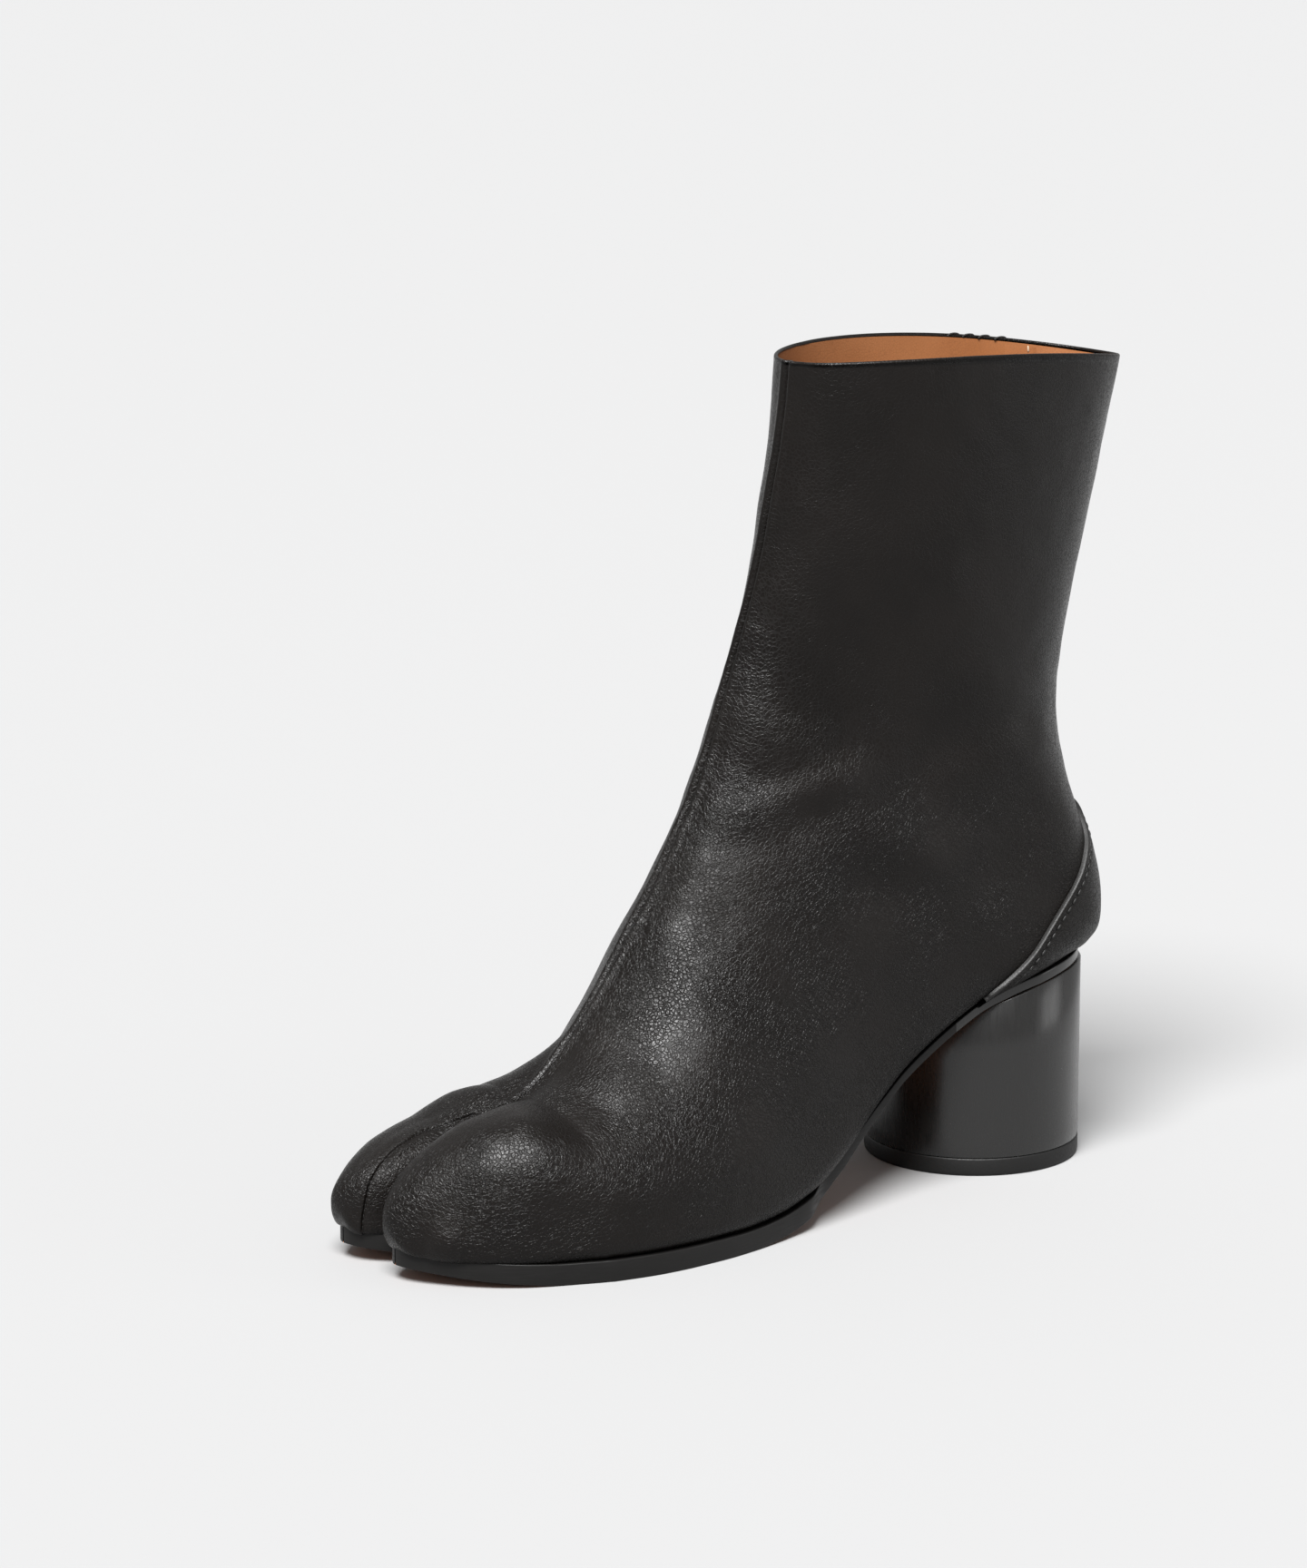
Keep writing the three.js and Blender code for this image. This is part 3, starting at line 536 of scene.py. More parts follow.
def leather(name, dark, light, rough, grain, size, depth, stretch=(1, 1, 1), shine=0.17):
    """Soft leather: pebbles with fine creases between them, painted shade in the creases, drifting
    colour and gloss.
    """
    m, tree, b = plain_material(name, dark, rough)
    place = in_millimetres(tree, stretch).outputs[0]
    bent = warped(tree, place, 0.35, 1.6)
    pebble = ramp(tree, cells(tree, bent, 1 / size), 0.0, 0.17)
    fine = ramp(tree, cells(tree, bent, 1.9 / size), 0.0, 0.22)
    drift = noise_tex(tree, place, 0.035, 3.0).outputs[0]
    split = grow(tree, "ShaderNodeSeparateXYZ")
    tree.links.new(place, split.inputs[0])
    foot = ramp(tree, split.outputs[2], 70.0, 165.0, 1.0, 0.35)
    patch = ramp(tree, noise_tex(tree, place, 0.06, 2.0).outputs[0], 0.35, 0.65, 1 - grain, 1.0)
    patch = maths(tree, "MULTIPLY", patch, foot)
    height = maths(tree, "ADD", maths(tree, "MULTIPLY", pebble, 0.72),
                   maths(tree, "MULTIPLY", fine, 0.28))
    soft = noise_tex(tree, place, 0.6, 4.0).outputs[0]
    height = maths(tree, "ADD", maths(tree, "MULTIPLY", height, patch),
                   maths(tree, "MULTIPLY", soft, 0.2))
    color = blend_color(tree, ramp(tree, drift, 0.3, 0.7), dark, light)
    # Painted shade: the base colour darkens in the grooves between the pebbles, where the bump is
    # lowest.
    groove = maths(tree, "MULTIPLY", ramp(tree, pebble, 0.0, 0.6, 0.6, 0.0), patch)
    color = blend_color(tree, groove, color, tuple(c * 0.35 for c in dark))
    tree.links.new(color, b.inputs["Base Color"])
    gloss = maths(tree, "ADD", ramp(tree, drift, 0.3, 0.7, rough - 0.04, rough + 0.05),
                  maths(tree, "MULTIPLY", maths(tree, "SUBTRACT", 1.0, pebble), 0.2))
    tree.links.new(gloss, b.inputs["Roughness"])
    b.inputs["Specular IOR Level"].default_value = shine
    bump(tree, b, height, depth)
    return m


BLACK = leather("black_leather", (0.0026, 0.0020, 0.0017), (0.0038, 0.0029, 0.0024), 0.27, 0.5,
                1.05, 0.15)
COUNTER = leather("counter_leather", (0.0030, 0.0025, 0.0021), (0.0042, 0.0034, 0.0029), 0.34, 0.5,
                  1.1, 0.2, (0.55, 0.55, 1.4))
TAN = leather("tan_lining", (0.19, 0.070, 0.024), (0.235, 0.092, 0.034), 0.5, 0.4, 0.8, 0.05)
SOLE_TAN = leather("sole_leather", (0.46, 0.19, 0.10), (0.54, 0.235, 0.125), 0.5, 0.3, 0.6, 0.03)


def fine_material(name, color, rough, gloss, noise_at, depth, sockets, span=(0.3, 0.7)):
    """Even material with a fine noise in gloss and relief. noise_at is its stretch, scale, detail."""
    m, tree, b = plain_material(name, color, rough)
    stretch, scale, detail = noise_at
    grain = noise_tex(tree, in_millimetres(tree, stretch).outputs[0], scale, detail).outputs[0]
    tree.links.new(ramp(tree, grain, *span, *gloss), b.inputs["Roughness"])
    for key, value in sockets.items():
        b.inputs[key].default_value = value
    bump(tree, b, grain, depth)
    return m


EVEN = (1, 1, 1)
EDGE = fine_material("sole_edge", (0.0042, 0.0039, 0.0037), 0.45, (0.36, 0.5),
                     ((0.2, 0.2, 2.5), 0.8, 4.0), 0.06, {"Specular IOR Level": 0.22})
LACQUER = fine_material("heel_lacquer", (0.0050, 0.0048, 0.0046), 0.27, (0.24, 0.31),
                        ((1, 1, 0.15), 0.9, 5.0), 0.012,
                        {"Coat Weight": 0.12, "Coat Roughness": 0.18}, (0.25, 0.75))
RUBBER = fine_material("lift_rubber", (0.0042, 0.0041, 0.0040), 0.55, (0.48, 0.62),
                       (EVEN, 2.0, 4.0), 0.05, {"Specular IOR Level": 0.25})
THREAD = fine_material("black_thread", (0.004, 0.0037, 0.0034), 0.5, (0.4, 0.6),
                       (EVEN, 5.0, 2.0), 0.05, {"Specular IOR Level": 0.3})
PALE_THREAD = fine_material("pale_thread", (0.36, 0.27, 0.19), 0.6, (0.5, 0.7),
                            (EVEN, 5.0, 2.0), 0.05, {})


def split_faces(p, tris, field, level):
    """Cuts triangles along field == level. Returns points, triangles and the new points' weights."""
    inside = field >= level
    cut = {}
    extra, sources, out = [], [], []

    def between(a, b):
        key = (min(a, b), max(a, b))
        if key not in cut:
            t = (level - field[key[0]]) / (field[key[1]] - field[key[0]])
            cut[key] = len(p) + len(extra)
            extra.append(mix(p[key[0]], p[key[1]], t))
            sources.append((key[0], key[1], t))
        return cut[key]

    for tri in tris:
        flags = [bool(inside[i]) for i in tri]
        if flags[0] == flags[1] == flags[2]:
            out.append(tuple(tri))
            continue
        k = next(i for i in range(3) if flags[i] != flags[i - 1] and flags[i] != flags[i - 2])
        a, b, c = tri[k], tri[(k + 1) % 3], tri[(k + 2) % 3]
        ab, ac = between(a, b), between(a, c)
        out += [(a, ab, ac), (ab, b, c), (ab, c, ac)]
    points = np.concatenate([p, np.array(extra).reshape(-1, 3)])
    return points, np.array(out), sources


def signed_side(curve, y, z):
    """Distance in the side view from a curve of [y, z] points, positive on its left."""
    best = np.full(len(y), 1e9)
    sign = np.zeros(len(y))
    for a, b in zip(curve[:-1], curve[1:]):
        d = b - a
        t = np.clip(((y - a[0]) * d[0] + (z - a[1]) * d[1]) / (d @ d), 0, 1)
        ey, ez = y - a[0] - t * d[0], z - a[1] - t * d[1]
        dist = np.hypot(ey, ez)
        cross = d[0] * ez - d[1] * ey
        closer = dist < best - 1e-9
        best = np.where(closer, dist, best)
        sign = np.where(closer, np.sign(cross), sign)
    return best * sign


def smooth_curve(points, count):
    """Even points on a Catmull-Rom curve through the given ones."""
    points = np.asarray(points, float)
    ext = np.concatenate([[2 * points[0] - points[1]], points, [2 * points[-1] - points[-2]]])
    out = []
    for i in range(1, len(ext) - 2):
        for t in np.linspace(0, 1, 24, endpoint=False):
            a, b, c, d = ext[i - 1], ext[i], ext[i + 1], ext[i + 2]
            out.append(0.5 * (2 * b + (c - a) * t + (2 * a - 5 * b + 4 * c - d) * t * t
                              + (3 * b - a - 3 * c + d) * t ** 3))
    out = np.array(out + [points[-1]])
    sums = np.concatenate([[0], np.cumsum(np.linalg.norm(np.diff(out, axis=0), axis=1))])
    goals = np.linspace(0, sums[-1], count)
    return np.stack([np.interp(goals, sums, out[:, c]) for c in range(out.shape[1])], 1)


# Outer skin of the upper.
NEAR_SEAM = [4.2, 3.3, 2.6, 2.0, 1.55, 1.15, 0.8, 0.5, 0.25, 0.0]
SKIN_COLUMNS = [24, 18, towards_seam(46, NEAR_SEAM)]
P, F, V, RIM = skin(0, 0.09, 60, SKIN_COLUMNS, 14)
N = vertex_normals(P, F)
if np.mean(np.einsum("ij,ij->i", N, P - P.mean(0))) < 0:
    F = F[:, ::-1]
    N = -N
tree_of_skin = search_tree(P, F)

# Shares of the length from the heel counter's back, of the ball width from the middle
# outwards, and of the height above the floor.
TALL = HEEL_HEIGHT + SHAFT_HEIGHT
TOE_SEAM = [[0.823, -0.040, 0.165], [0.843, -0.076, 0.156], [0.864, -0.114, 0.148],
            [0.886, -0.132, 0.141], [0.909, -0.125, 0.135], [0.928, -0.117, 0.129],
            [0.944, -0.108, 0.121], [0.958, -0.100, 0.109], [0.967, -0.099, 0.094],
            [0.972, -0.098, 0.077], [0.975, -0.103, 0.058], [0.975, -0.108, 0.042]]
# Height and width in millimetres, then the line the crease follows.
CREASES = [
    [0.95, 4.6, [[0.540, 0.130, 0.478], [0.524, 0.155, 0.486], [0.498, 0.188, 0.496],
                 [0.468, 0.217, 0.505], [0.431, 0.246, 0.515], [0.390, 0.259, 0.524],
                 [0.348, 0.272, 0.534]]],
    [-0.85, 6.5, [[0.550, 0.149, 0.448], [0.504, 0.213, 0.456], [0.451, 0.250, 0.473],
                  [0.396, 0.281, 0.490], [0.333, 0.288, 0.503]]],
    [-0.55, 5.5, [[0.536, 0.098, 0.510], [0.502, 0.160, 0.521], [0.454, 0.215, 0.536],
                  [0.398, 0.240, 0.551], [0.341, 0.269, 0.561]]],
    [-1.1, 8.0, [[0.452, 0.275, 0.432], [0.416, 0.308, 0.404], [0.364, 0.332, 0.381],
                 [0.303, 0.349, 0.371], [0.237, 0.349, 0.375], [0.193, 0.337, 0.399],
                 [0.175, 0.332, 0.446]]],
    [0.6, 8.0, [[0.389, 0.303, 0.447], [0.332, 0.331, 0.424], [0.265, 0.330, 0.425],
                [0.224, 0.326, 0.452]]],
    [0.8, 7.5, [[0.100, 0.255, 0.540], [0.150, 0.300, 0.534], [0.185, 0.324, 0.529],
                [0.248, 0.314, 0.510], [0.310, 0.300, 0.487]]],
    [-0.7, 7.0, [[0.105, 0.255, 0.578], [0.128, 0.271, 0.574], [0.199, 0.323, 0.570],
                 [0.261, 0.309, 0.553], [0.319, 0.285, 0.534]]],
    [-0.30, 1.1, [[0.345, 0.356, 0.243], [0.339, 0.356, 0.237], [0.326, 0.355, 0.221],
                  [0.315, 0.347, 0.203]]],
    [-0.25, 1.0, [[0.371, 0.361, 0.211], [0.353, 0.359, 0.199], [0.329, 0.333, 0.177]]],
    [-0.25, 1.0, [[0.395, 0.367, 0.203], [0.372, 0.363, 0.184], [0.351, 0.335, 0.161]]],
    [-0.25, 1.0, [[0.418, 0.376, 0.187], [0.398, 0.371, 0.170], [0.381, 0.358, 0.151]]],
    [1.9, 5.0, [[0.962, 0.180, 0.058], [0.955, 0.240, 0.056], [0.938, 0.300, 0.056]]],
    [0.8, 11.0, [[0.880, 0.340, 0.140], [0.840, 0.375, 0.148], [0.790, 0.370, 0.160]]],
    [-0.55, 5.0, [[0.963, 0.120, 0.121], [0.941, 0.242, 0.115], [0.905, 0.334, 0.111],
                  [0.863, 0.400, 0.105]]],
    [0.8, 8.5, [[0.760, 0.300, 0.190], [0.725, 0.290, 0.208], [0.695, 0.270, 0.230]]],
    [-0.45, 7.0, [[0.775, 0.215, 0.195], [0.752, 0.300, 0.180], [0.735, 0.380, 0.150]]],
    [0.8, 6.0, [[0.537, 0.110, 0.521], [0.562, 0.105, 0.470], [0.588, 0.120, 0.420],
                [0.613, 0.135, 0.372], [0.640, 0.145, 0.330]]],
    [0.8, 5.0, [[0.530, -0.120, 0.500], [0.490, -0.190, 0.520], [0.440, -0.240, 0.545],
                [0.390, -0.260, 0.560]]],
    [-0.8, 6.0, [[0.545, -0.140, 0.460], [0.500, -0.210, 0.478], [0.450, -0.250, 0.498],
                 [0.390, -0.270, 0.515]]],
    [0.5, 4.0, [[0.520, -0.110, 0.560], [0.490, -0.170, 0.572], [0.455, -0.210, 0.590]]],
    [-1.0, 8.0, [[0.440, -0.280, 0.430], [0.370, -0.310, 0.395], [0.300, -0.330, 0.380],
                 [0.230, -0.330, 0.390], [0.180, -0.320, 0.440]]],
    [-0.6, 4.5, [[0.060, 0.180, 0.560], [0.020, 0.000, 0.553], [0.060, -0.180, 0.560]]],
    [0.5, 5.0, [[0.060, 0.180, 0.528], [0.020, 0.000, 0.520], [0.060, -0.180, 0.528]]],
    [-0.35, 3.5, [[0.080, 0.200, 0.600], [0.025, 0.000, 0.590], [0.080, -0.200, 0.600]]],
]


def stitches(name, line, normals, pitch, length, thick, lift, material):
    """A row of short thread stitches laid along a line on the leather."""
    gap = np.linalg.norm(np.diff(line, axis=0), axis=1)
    run = np.concatenate([[0], np.cumsum(gap)])
    centers = np.arange(pitch / 2, run[-1], pitch)
    points, faces = [], []
    rings, around = 7, 8
    for at in centers:
        c = np.array([np.interp(at, run, line[:, k]) for k in range(3)])
        n = np.array([np.interp(at, run, normals[:, k]) for k in range(3)])
        ahead = np.array([np.interp(min(at + 0.6, run[-1]), run, line[:, k]) for k in range(3)]) - c
        if np.linalg.norm(ahead) < 1e-6:
            continue
        ahead = ahead / np.linalg.norm(ahead)
        n = n / np.linalg.norm(n)
        wide = np.cross(ahead, n)
        start = len(points)
        for i in range(rings):
            t = -1 + 2 * i / (rings - 1)
            r = math.sqrt(max(0.02, 1 - abs(t) ** 3))
            sink = -0.25 * thick * t * t
            for j in range(around):
                a = 2 * math.pi * j / around
                points.append(c + ahead * t * length / 2 + n * (lift + sink + thick * r * math.sin(a))
                              + wide * thick * 1.25 * r * math.cos(a))
        for i in range(rings - 1):
            for j in range(around):
                a, b = start + i * around + j, start + i * around + (j + 1) % around
                faces.append((a, b, b + around, a + around))
        faces.append(tuple(start + j for j in range(around))[::-1])
        faces.append(tuple(start + (rings - 1) * around + j for j in range(around)))
    add_object(name, np.array(points), faces, [material])


def place(shares):
    """Line on the skin through points given as shares."""
    a = np.asarray(shares, float)
    p = np.stack([a[:, 1] * BALL_WIDTH, station(a[:, 0]), a[:, 2] * TALL], 1)
    return np.array([tree_of_skin.find_nearest(Vector(q))[0] for q in smooth_curve(p, 40)])


def near_line(line, p, reach):
    """Distance of each point from the line, its share of the line's length and nearest spot."""
    low, high = line.min(0) - reach, line.max(0) + reach
    ids = np.where(((p >= low) & (p <= high)).all(axis=1))[0]
    q = p[ids]
    best = np.full(len(ids), 1e9)
    share = np.zeros(len(ids))
    spot = np.zeros((len(ids), 3))
    ahead = np.zeros((len(ids), 3))
    for k, (a, b) in enumerate(zip(line[:-1], line[1:])):
        d = b - a
        t = np.clip((q - a) @ d / max(d @ d, 1e-12), 0, 1)
        c = a + t[:, None] * d
        dist = np.linalg.norm(q - c, axis=1)
        closer = dist < best
        best[closer] = dist[closer]
        share[closer] = (k + t[closer]) / (len(line) - 1)
        spot[closer] = c[closer]
        ahead[closer] = d
    return ids, best, share, spot, ahead


# The seam on the inner toe gets its own narrow faces.
toe_line = place(TOE_SEAM)
SEAM_REACH = 9
LEVELS = [-2.4, -1.2, -0.7, -0.35, -0.12, 0.12, 0.35, 0.7, 1.2, 2.0, 2.8, 3.6]


def across_seam(p, n):
    """Signed distance from the inner toe's seam, for the points within SEAM_REACH of it."""
    value = np.full(len(p), -50.0)
    ids, dist, share, spot, ahead = near_line(toe_line, p, SEAM_REACH)
    side = np.einsum("ij,ij->i", np.cross(ahead, p[ids] - spot), n[ids])
    value[ids] = np.where(dist < SEAM_REACH, dist * np.sign(side), -50)
    return value, ids, share


field, _, _ = across_seam(P, N)
beside = np.abs(field) < 8
touched = beside[F].all(axis=1) & (V["toe"][F] > 0).any(axis=1)
tris = np.concatenate([F[touched][:, [0, 1, 2]], F[touched][:, [0, 2, 3]]])
for level in LEVELS:
    size = len(P)
    P, tris, sources = split_faces(P, tris, field, level)
    if sources:
        a, b = (np.array([w[k] for w in sources]) for k in (0, 1))
        t = np.array([w[2] for w in sources])
        N = np.concatenate([N, mix(N[a], N[b], t[:, None])])
        field = np.concatenate([field, np.full(len(t), level)])
        V = {k: np.concatenate([v, np.maximum(v[a], v[b])]) for k, v in V.items()}
F = np.concatenate([F[~touched], tris[:, [0, 1, 2, 2]]])
on_body = V["toe"] == 0

# Raised front seam with its groove, then the creases, the toe seam and soft waves.
relief = np.zeros(len(P))
q = V["q"][on_body]
relief[on_body] += (0.60 * np.exp(-((q - 1.8) / 0.95) ** 2) - 1.05 * np.exp(-(q / 0.48) ** 2))
for height, width, shares in CREASES:
    line = place(shares)
    ids, dist, share, _, _ = near_line(line, P, 2.6 * width)
    fade = np.sin(math.pi * np.clip(share, 0.04, 0.96)) ** 0.6
    relief[ids] += height * fade * np.exp(-((dist / width) ** 2))
field, ids, share = across_seam(P, N)
f = field[ids]
fade = ease(share / 0.12)
step = 0.35 * (1 - ease((f + 0.2) / 0.4)) * ease((f + 7) / 4)
relief[ids] += fade * (step - 0.55 * np.exp(-((f / 0.25) ** 2)) - 0.12 * ease((f + 0.5) / 1.0))
bunch = np.exp(-(((share - 0.50) / 0.14) ** 2))
relief[ids] += bunch * fade * 0.38 * np.exp(-(((f - 1.9) / 0.55) ** 2))
relief[ids] -= bunch * fade * 0.25 * np.exp(-(((f - 2.9) / 0.5) ** 2))
calm = ease((P[:, 2] - sole_top(P[:, 1]) - 1.5) / 8)
for k in range(len(P)):
    if calm[k] > 0:
        v = Vector(P[k])
        relief[k] += calm[k] * (0.34 * noise.noise(v * 0.045) + 0.13 * noise.noise(v * 0.14)
                                + 0.03 * noise.noise(v * 0.5))
P = P + N * relief[:, None]
low = sole_top(P[:, 1]) + GAP + 0.6
P[:, 2] -= 0.26 * (1 - ease((P[:, 2] - low) / 1.5)) * (P[:, 1] < 28)
N = vertex_normals(P, F)

finished = search_tree(P, F)


def on_leather(points):
    hits = [finished.find_nearest(Vector(q)) for q in points]
    return np.array([h[0] for h in hits]), np.array([h[1] for h in hits])


# Rim: the leather folds over the collar's edge and meets the lining inside.
ROLL = 0.55
ROLL_STEPS = 7
rim_ring = np.concatenate([RIM[1], RIM[-1][::-1][1:]])
s = Shape()
s.add(P)
previous = rim_ring
top_n = N[rim_ring]
up = np.array([0.0, 0.0, 1.0])
for k in range(1, ROLL_STEPS + 1):
    angle = math.pi * k / ROLL_STEPS
    ids = s.add(P[rim_ring] - top_n * ROLL * (1 - math.cos(angle)) + up * ROLL * math.sin(angle))
    s.strip(previous, ids)
    previous = ids
ids = s.add(P[rim_ring] - top_n * 2 * ROLL - up * 0.25)
s.strip(previous, ids)
rim_p, rim_f, _ = s.done()
upper = add_object("upper_leather", rim_p, np.concatenate([F, rim_f]), [BLACK])

# Lining: the inner face of the upper.
LP, LF, _, _ = skin(2 * ROLL + 0.1, 0.25, 20, [8, 8, 26], 6, -0.015)
LF = LF[:, ::-1]
lining = add_object("lining", LP, LF, [TAN])
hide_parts("upper")
_, toe_n = on_leather(toe_line)
flow = unit(np.gradient(toe_line, axis=0))
beside = toe_line - np.cross(flow, toe_n) * 0.95
beside, beside_n = on_leather(beside)
beside_n *= np.sign(np.einsum("ij,ij->i", beside_n, toe_n))[:, None]
stitches("toe_stitches", beside[3:], beside_n[3:], 1.55, 1.15, 0.17, 0.04, THREAD)


def plan_rows(side, margin, count):
    """Edge of the foot plan on one side: [y, near, far] from the heel's back to the toe tip."""
    rows = []
    flat = [lambda n: n * (1 - (1 - np.arange(5) / 4) ** 1.7),
            lambda n: n * (np.arange(61) / 60) ** 1.5, 1]
    edges = []
    for u in np.arange(10, -0.01, -0.5):
        p, _ = half_section(u, side, 0, flat)
        low = p[0][2] + 1.6
        edges.append([p[0][1], np.abs(p[p[:, 2] <= low][:, 0]).max() + margin])
    edges = np.array(edges)[::-1]
    if margin > 0:
        block = np.sqrt(np.maximum(0, (HEEL_RADIUS) ** 2 - edges[:, 0] ** 2))
        edges[:, 1] = np.maximum(edges[:, 1], block)
    ys = np.linspace(edges[-1][0], edges[0][0], 110)
    body = [[y, 0.0, float(along(edges, 1, y))] for y in ys]
    wide = body[0]
    for k in range(24, 0, -1):
        angle = QUARTER * k / 24 * 0.995
        rows.append([wide[0] + HEEL_RADIUS * math.sin(angle), 0.0, wide[2] * math.cos(angle)])
    rows += [r for r in body if r[0] > SPLIT_Y + 0.4]
    toe = TOES[side]
    tip_y = station(toe["tip"]) + 0.02 * LENGTH * 0.75 - margin
    rnd = toe["round"] * LENGTH
    slit = SPLIT_WIDTH / 2
    for k in range(count + 1):
        y = mix(SPLIT_Y, tip_y, math.sin(QUARTER * k / count * 0.995))
        at = (BACK - y) / LENGTH
        ahead = max(0.0, y - tip_y)
        tip_q = toe["side"] * BALL_WIDTH
        far = mix(tip_q, along(toe["rows"], 1, at) * BALL_WIDTH - 1.4 + margin,
                  closing(ahead, rnd, 2.3))
        near = mix(tip_q, along(toe["rows"], 2, at) * BALL_WIDTH + slit - min(margin, 0.2),
                   closing(ahead, rnd * 0.4, 2.1))
        rows.append([y, near, far])
    return np.array(rows)


def plate(name, margin, low, high, edge, top_mat, edge_mat, low_mat, seat_mat):
    """Sole-like plate over the foot plan with rounded edges. seat_mat is its edge over the heel."""
    s = Shape()
    picks = []
    inside = np.array([0.0, 0.25, 0.5, 0.72, 0.88, 1.0])
    for side in (1, -1):
        rows = plan_rows(side, margin, 30)
        previous = None
        for y, near, far in rows:
            z0, z1 = low(y), high(y)
            r = min(edge, (z1 - z0) / 2.01, max(0.01, (far - near) / 3))
            shift = slit_x(y)
            xs = mix(near + (r if near > 0 else 0), far - r, inside)
            ring = [(x, z1) for x in xs]
            ring += [(far - r + r * math.sin(a), z1 - r + r * math.cos(a))
                     for a in np.linspace(0, QUARTER, 5)[1:]]
            ring += [(far - r + r * math.cos(a), z0 + r - r * math.sin(a))
                     for a in np.linspace(0, QUARTER, 5)]
            ring += [(x, z0) for x in xs[::-1][1:]]
            if near > 0:
                ring += [(near + r - r * math.sin(a), z0 + r - r * math.cos(a))
                         for a in np.linspace(0, QUARTER, 5)[1:]]
                ring += [(near + r - r * math.cos(a), z1 - r + r * math.sin(a))
                         for a in np.linspace(0, QUARTER, 5)]
            else:
                ring += [(0.0, mix(z0, z1, t)) for t in np.linspace(0, 1, 10)[:9]]
            ids = s.add([(shift + side * x, y, z) for x, z in ring])
            ids = np.concatenate([ids, ids[:1]])
            if previous is not None:
                s.strip(previous, ids, side > 0)
                a = len(inside) - 1
                rim = 3 if y > -HEEL_RADIUS + 1 else 1
                picks += [0] * a + [rim] * 9 + [2] * a + [rim] * (len(ids) - 1 - 2 * a - 9)
            previous = ids
    p, f, _ = s.done()
    return add_object(name, p, f, [top_mat, edge_mat, low_mat, seat_mat], picks=picks)


outsole = plate("sole", SOLE_MARGIN, sole_bottom, lambda y: sole_top(y) + GAP + 0.5, 0.4,
                EDGE, EDGE, SOLE_TAN, LACQUER)
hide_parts("outsole")
insole_low = lambda y: sole_top(y) + GAP + WALL + GAP
insole = plate("sock", -2.6, insole_low, lambda y: insole_low(y) + INSOLE_THICKNESS, 0.5,
               TAN, TAN, TAN, TAN)
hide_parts("insole")


def turned(name, profile, top, material, around=160):
    """Round block: profile gives [radius, height] up the side, top the height of its upper face."""
    s = Shape()
    angles = np.linspace(0, 2 * math.pi, around + 1)[:-1]
    rings = []
    for r, z in profile:
        rings.append(s.add(np.stack([r * np.cos(angles), r * np.sin(angles), np.full(around, z)], 1)))
    if top is not None:
        for share in (1.0, 0.985, 0.75, 0.4, 0.0):
            r = max(HEEL_RADIUS * share, 0.01)
            y = r * np.sin(angles)
            drop = 0.25 if share == 1.0 else 0.0
            rings.append(s.add(np.stack([r * np.cos(angles), y, top(y) - drop], 1)))
    for a, b in zip(rings[:-1], rings[1:]):
        s.strip(np.append(a, a[0]), np.append(b, b[0]))
    p, f, _ = s.done()
    return add_object(name, p, f, [material])


R = HEEL_RADIUS
heel = turned("heel_block", [(0.01, TOP_LIFT), (R * 0.5, TOP_LIFT), (R - 0.5, TOP_LIFT),
                             (R - 0.12, TOP_LIFT + 0.12), (R, TOP_LIFT + 0.5), (R, TOP_LIFT + 4),
                             (R, 20), (R, 33)], lambda y: sole_bottom(y) - GAP, LACQUER)
lift = turned("heel_lift", [(0.01, 0), (R * 0.5, 0), (R - 0.9, 0), (R - 0.35, 0.1), (R - 0.1, 0.45),
                            (R, 1.0), (R, TOP_LIFT - 0.5), (R - 0.12, TOP_LIFT - 0.12),
                            (R - 0.5, TOP_LIFT), (R * 0.5, TOP_LIFT), (0.01, TOP_LIFT)], None, RUBBER)
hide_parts("heel")
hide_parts("top_lift")


CUT_EDGE = 0.4


def overlay(name, keep, fields, height, material, levels):
    """Patch of the upper raised by height. keep marks the points near it; fields gives its edge."""
    quads = F[keep[F].all(axis=1)]
    used = np.unique(quads)
    back = np.full(len(P), -1)
    back[used] = np.arange(len(used))
    p, n = P[used], N[used]
    q = back[quads]
    tris = np.concatenate([q[:, [0, 1, 2]], q[:, [0, 2, 3]]])
    tris = tris[(tris[:, 0] != tris[:, 1]) & (tris[:, 1] != tris[:, 2]) & (tris[:, 0] != tris[:, 2])]
    edge = fields(p)
    for k, level in enumerate(levels):
        p, tris, sources = split_faces(p, tris, edge, level)
        if sources:
            a, b = (np.array([w[c] for w in sources]) for c in (0, 1))
            t = np.array([w[2] for w in sources])[:, None]
            n = np.concatenate([n, mix(n[a], n[b], t)])
            edge = np.concatenate([edge, np.full(len(sources), level)])
        if k == 0:
            tris = tris[(edge[tris] >= level - 1e-9).all(axis=1)]
    p = p + unit(n) * height(edge, p)[:, None]
    used = np.unique(tris)
    back = np.full(len(p), -1)
    back[used] = np.arange(len(used))
    cut = (edge[tris].max(axis=1) < CUT_EDGE + 0.01).astype(int)
    return add_object(name, p[used], [tuple(t) for t in back[tris]], [material, THREAD], picks=cut)


seat = float(sole_top(BACK))
STITCH_ROW = 2.2
counter_curve = smooth_curve([[station(0.03) - a * COUNTER_LENGTH, seat + u * COUNTER_HEIGHT]
                              for a, u in COUNTER_EDGE], 60)


def counter_field(p):
    rim = signed_side(counter_curve, p[:, 1], p[:, 2])
    foot = p[:, 2] - sole_top(p[:, 1]) - 2 * GAP
    return np.minimum(rim, foot)


def counter_height(edge, p):
    t = np.clip(edge / CUT_EDGE, 0, 1)
    rise = (OVERLAY + 0.15) * np.sqrt(1 - (1 - t) ** 2)
    groove = 0.28 * np.exp(-((edge - STITCH_ROW) / 0.35) ** 2)
    return 0.03 + rise - groove * (p[:, 2] > sole_top(p[:, 1]) + 6)


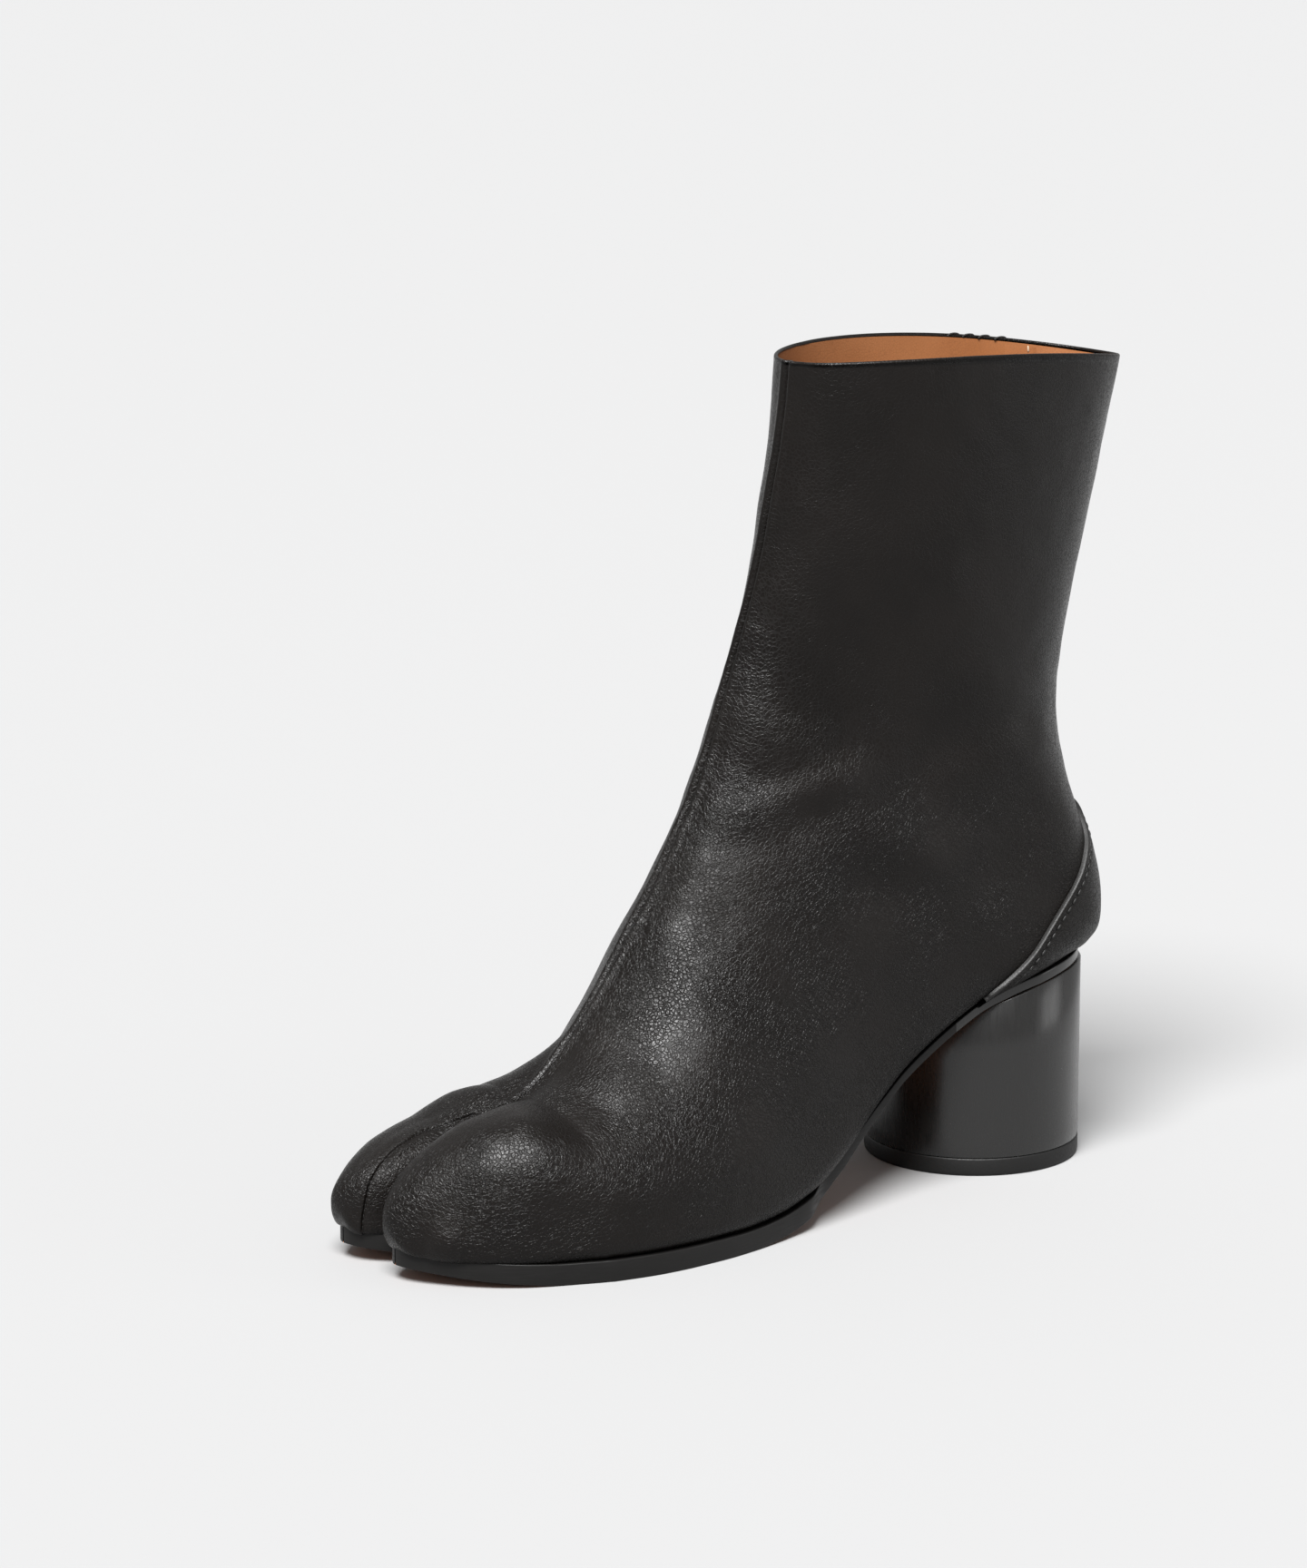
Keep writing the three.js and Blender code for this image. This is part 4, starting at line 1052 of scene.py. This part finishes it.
near_counter = (P[:, 1] > -22) & (P[:, 2] < seat + COUNTER_HEIGHT + 12) & on_body
counter = overlay("counter_leather_piece", near_counter, counter_field, counter_height, COUNTER,
                  [0.0, 0.06, 0.2, CUT_EDGE, 0.9, 1.7, STITCH_ROW, 2.7])
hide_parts("heel_counter")

step = unit(np.gradient(counter_curve, axis=0))
inward = np.stack([-step[:, 1], step[:, 0]], 1)
if signed_side(counter_curve, *(counter_curve[30] + inward[30] * 2)[:, None])[0] < 0:
    inward = -inward
row = counter_curve + inward * STITCH_ROW
for side, name in ((1, "outer_counter_stitches"), (-1, "inner_counter_stitches")):
    found, facing = [], []
    for y, z in row:
        if z < sole_top(y) + 3:
            continue
        hit = finished.ray_cast(Vector((80.0 * side, y, z)), Vector((-side, 0.0, 0.0)))
        if hit[0] is not None and hit[0][0] * side > 3:
            found.append(hit[0])
            facing.append(hit[1] if hit[1][0] * side > 0 else -hit[1])
    found, facing = np.array(found), np.array(facing)
    stitches(name, found + facing * (OVERLAY + 0.15), facing, 2.9, 2.2, 0.27, 0.0, THREAD)

rim_line = P[RIM[-1]]
rim_normal = N[RIM[-1]]
order = np.argsort(rim_line[:, 1])
flap_front = smooth_curve([[station(a), seat + u * SHAFT_HEIGHT] for a, u in FLAP_EDGE], 60)


def at_rim(y, values):
    """Values of the inner rim's points, read at y."""
    return np.interp(y, rim_line[order, 1], values[order])


def flap_field(p):
    return signed_side(flap_front, p[:, 1], p[:, 2])


def flap_height(edge, p):
    t = np.clip(edge / 0.9, 0, 1)
    fade = 1 - ease((edge - 8) / (FLAP_WIDTH - 9))
    low = ease((p[:, 2] - (seat + 0.18 * SHAFT_HEIGHT)) / 14)
    rim_z = at_rim(p[:, 1], rim_line[:, 2])
    low = low * np.sqrt(np.clip((rim_z - p[:, 2]) / 1.2, 0, 1))
    return 0.03 + (OVERLAY + 0.1) * np.sqrt(1 - (1 - t) ** 2) * fade * low


near_flap = ((P[:, 1] > -16) & (P[:, 1] < 42) & (P[:, 2] > seat + 0.17 * SHAFT_HEIGHT)
             & (V["side"] < 0) & on_body)
flap = overlay("back_panel_edge", near_flap, flap_field, flap_height, BLACK,
               [0.0, 0.15, 0.45, 0.9, 1.7])
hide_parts("closure_flap")

# Thread loops on the inner rim, where the hooks of the closure catch.
for k, y in enumerate((10.5, 15.2, 19.9, 24.6)):
    at = np.array([at_rim(y, rim_line[:, c]) for c in range(3)])
    out = unit(np.array([at_rim(y, rim_normal[:, 0]), at_rim(y, rim_normal[:, 1]), 0.0]))
    base = at - out
    arc = []
    for i in range(13):
        a = math.pi * i / 12
        arc.append(base + np.array([0.0, 1.9 * math.cos(a), 0.1 + 0.5 * math.sin(a)]) + out * 0.2)
    arc = np.array(arc)
    stitches("loop_%d" % (k + 1), arc, np.repeat((-out)[None], len(arc), 0), 0.42, 0.75, 0.28, 0.0,
             THREAD)

# Inner edge of the front panel, sewn flat against the lining.
panel = []
inside = search_tree(LP, LF)
for share in np.linspace(0.80, 1.0, 24):
    line = []
    for y in np.linspace(25.0, 33.0 - 8.0 * (1 - share), 8):
        z = seat + share * (at_rim(y, rim_line[:, 2]) - 1.2 - seat)
        hit = inside.ray_cast(Vector((0.0, y, z)), Vector((-1.0, 0.0, 0.0)))
        line.append(np.array(hit[0]) if hit[0] is not None else np.array([-14.0, y, z]))
    panel.append(line)
panel = np.array(panel)
rows, cols = panel.shape[:2]
lift = np.array([0.06, 0.5, 0.8, 0.85, 0.85, 0.85, 0.8, 0.1])
raised = panel + np.array([1.0, 0.0, 0.0]) * lift[None, :, None]
quads = [(r * cols + c, r * cols + c + 1, (r + 1) * cols + c + 1, (r + 1) * cols + c)
         for r in range(rows - 1) for c in range(cols - 1)]
edge_strip = add_object("inner_panel_edge", raised.reshape(-1, 3), quads, [TAN])
stitches("pale_stitches", raised[:, 5], np.repeat(np.array([[1.0, 0.0, 0.0]]), rows, 0), 2.6, 1.9,
         0.22, 0.1, PALE_THREAD)

# Camera, light and floor. The focal length is in pixels of the frame's height.
FRAME_HEIGHT = 1728
FOCAL_LENGTH = 5603.87
SENSOR = 36
CAMERA_PLACE = (1.0587, -0.8883, 0.405)
CAMERA_DOWN = 12.296
CAMERA_TURN = 53.708
scene = bpy.context.scene
cam_data = bpy.data.cameras.new("camera")
cam_data.sensor_width = SENSOR
cam_data.lens = FOCAL_LENGTH * SENSOR / FRAME_HEIGHT
cam_data.clip_end = 100
camera = bpy.data.objects.new("camera", cam_data)
camera.location = CAMERA_PLACE
camera.rotation_euler = (math.radians(90 - CAMERA_DOWN), 0, math.radians(CAMERA_TURN))
scene.collection.objects.link(camera)
scene.camera = camera

FLOOR_HALF = 30
floor_data = bpy.data.meshes.new("floor")
floor_data.from_pydata([(-FLOOR_HALF, -FLOOR_HALF, 0), (FLOOR_HALF, -FLOOR_HALF, 0),
                        (FLOOR_HALF, FLOOR_HALF, 0), (-FLOOR_HALF, FLOOR_HALF, 0)],
                       [], [(0, 1, 2, 3)])
FLOOR, tree, b = plain_material("floor", (0.243, 0.243, 0.2437), 0.85)
b.inputs["Specular IOR Level"].default_value = 0.1
floor_data.materials.append(FLOOR)
floor = bpy.data.objects.new("floor", floor_data)
scene.collection.objects.link(floor)

world = bpy.data.worlds.new("world")
scene.world = world
world.use_nodes = True
sky = world.node_tree.nodes["Background"]
sky.inputs["Color"].default_value = (1, 1, 1, 1)
sky.inputs["Strength"].default_value = 0.55


def lamp(kind, name, place, target, power_w, **settings):
    data = bpy.data.lights.new(name, kind)
    data.energy = power_w
    for key, value in settings.items():
        setattr(data, key, value)
    obj = bpy.data.objects.new(name, data)
    obj.location = place
    obj.rotation_euler = (Vector(target) - Vector(place)).to_track_quat("-Z", "Y").to_euler()
    scene.collection.objects.link(obj)


lamp("SUN", "key", (0.68, -0.81, 1.70), (0, 0, 0), 11.2, angle=math.radians(30))
lamp("AREA", "back", (1.3, 1.3, 0.55), (0, 0, 0.12), 5.0, size=0.9)
scene.view_settings.view_transform = "Standard"
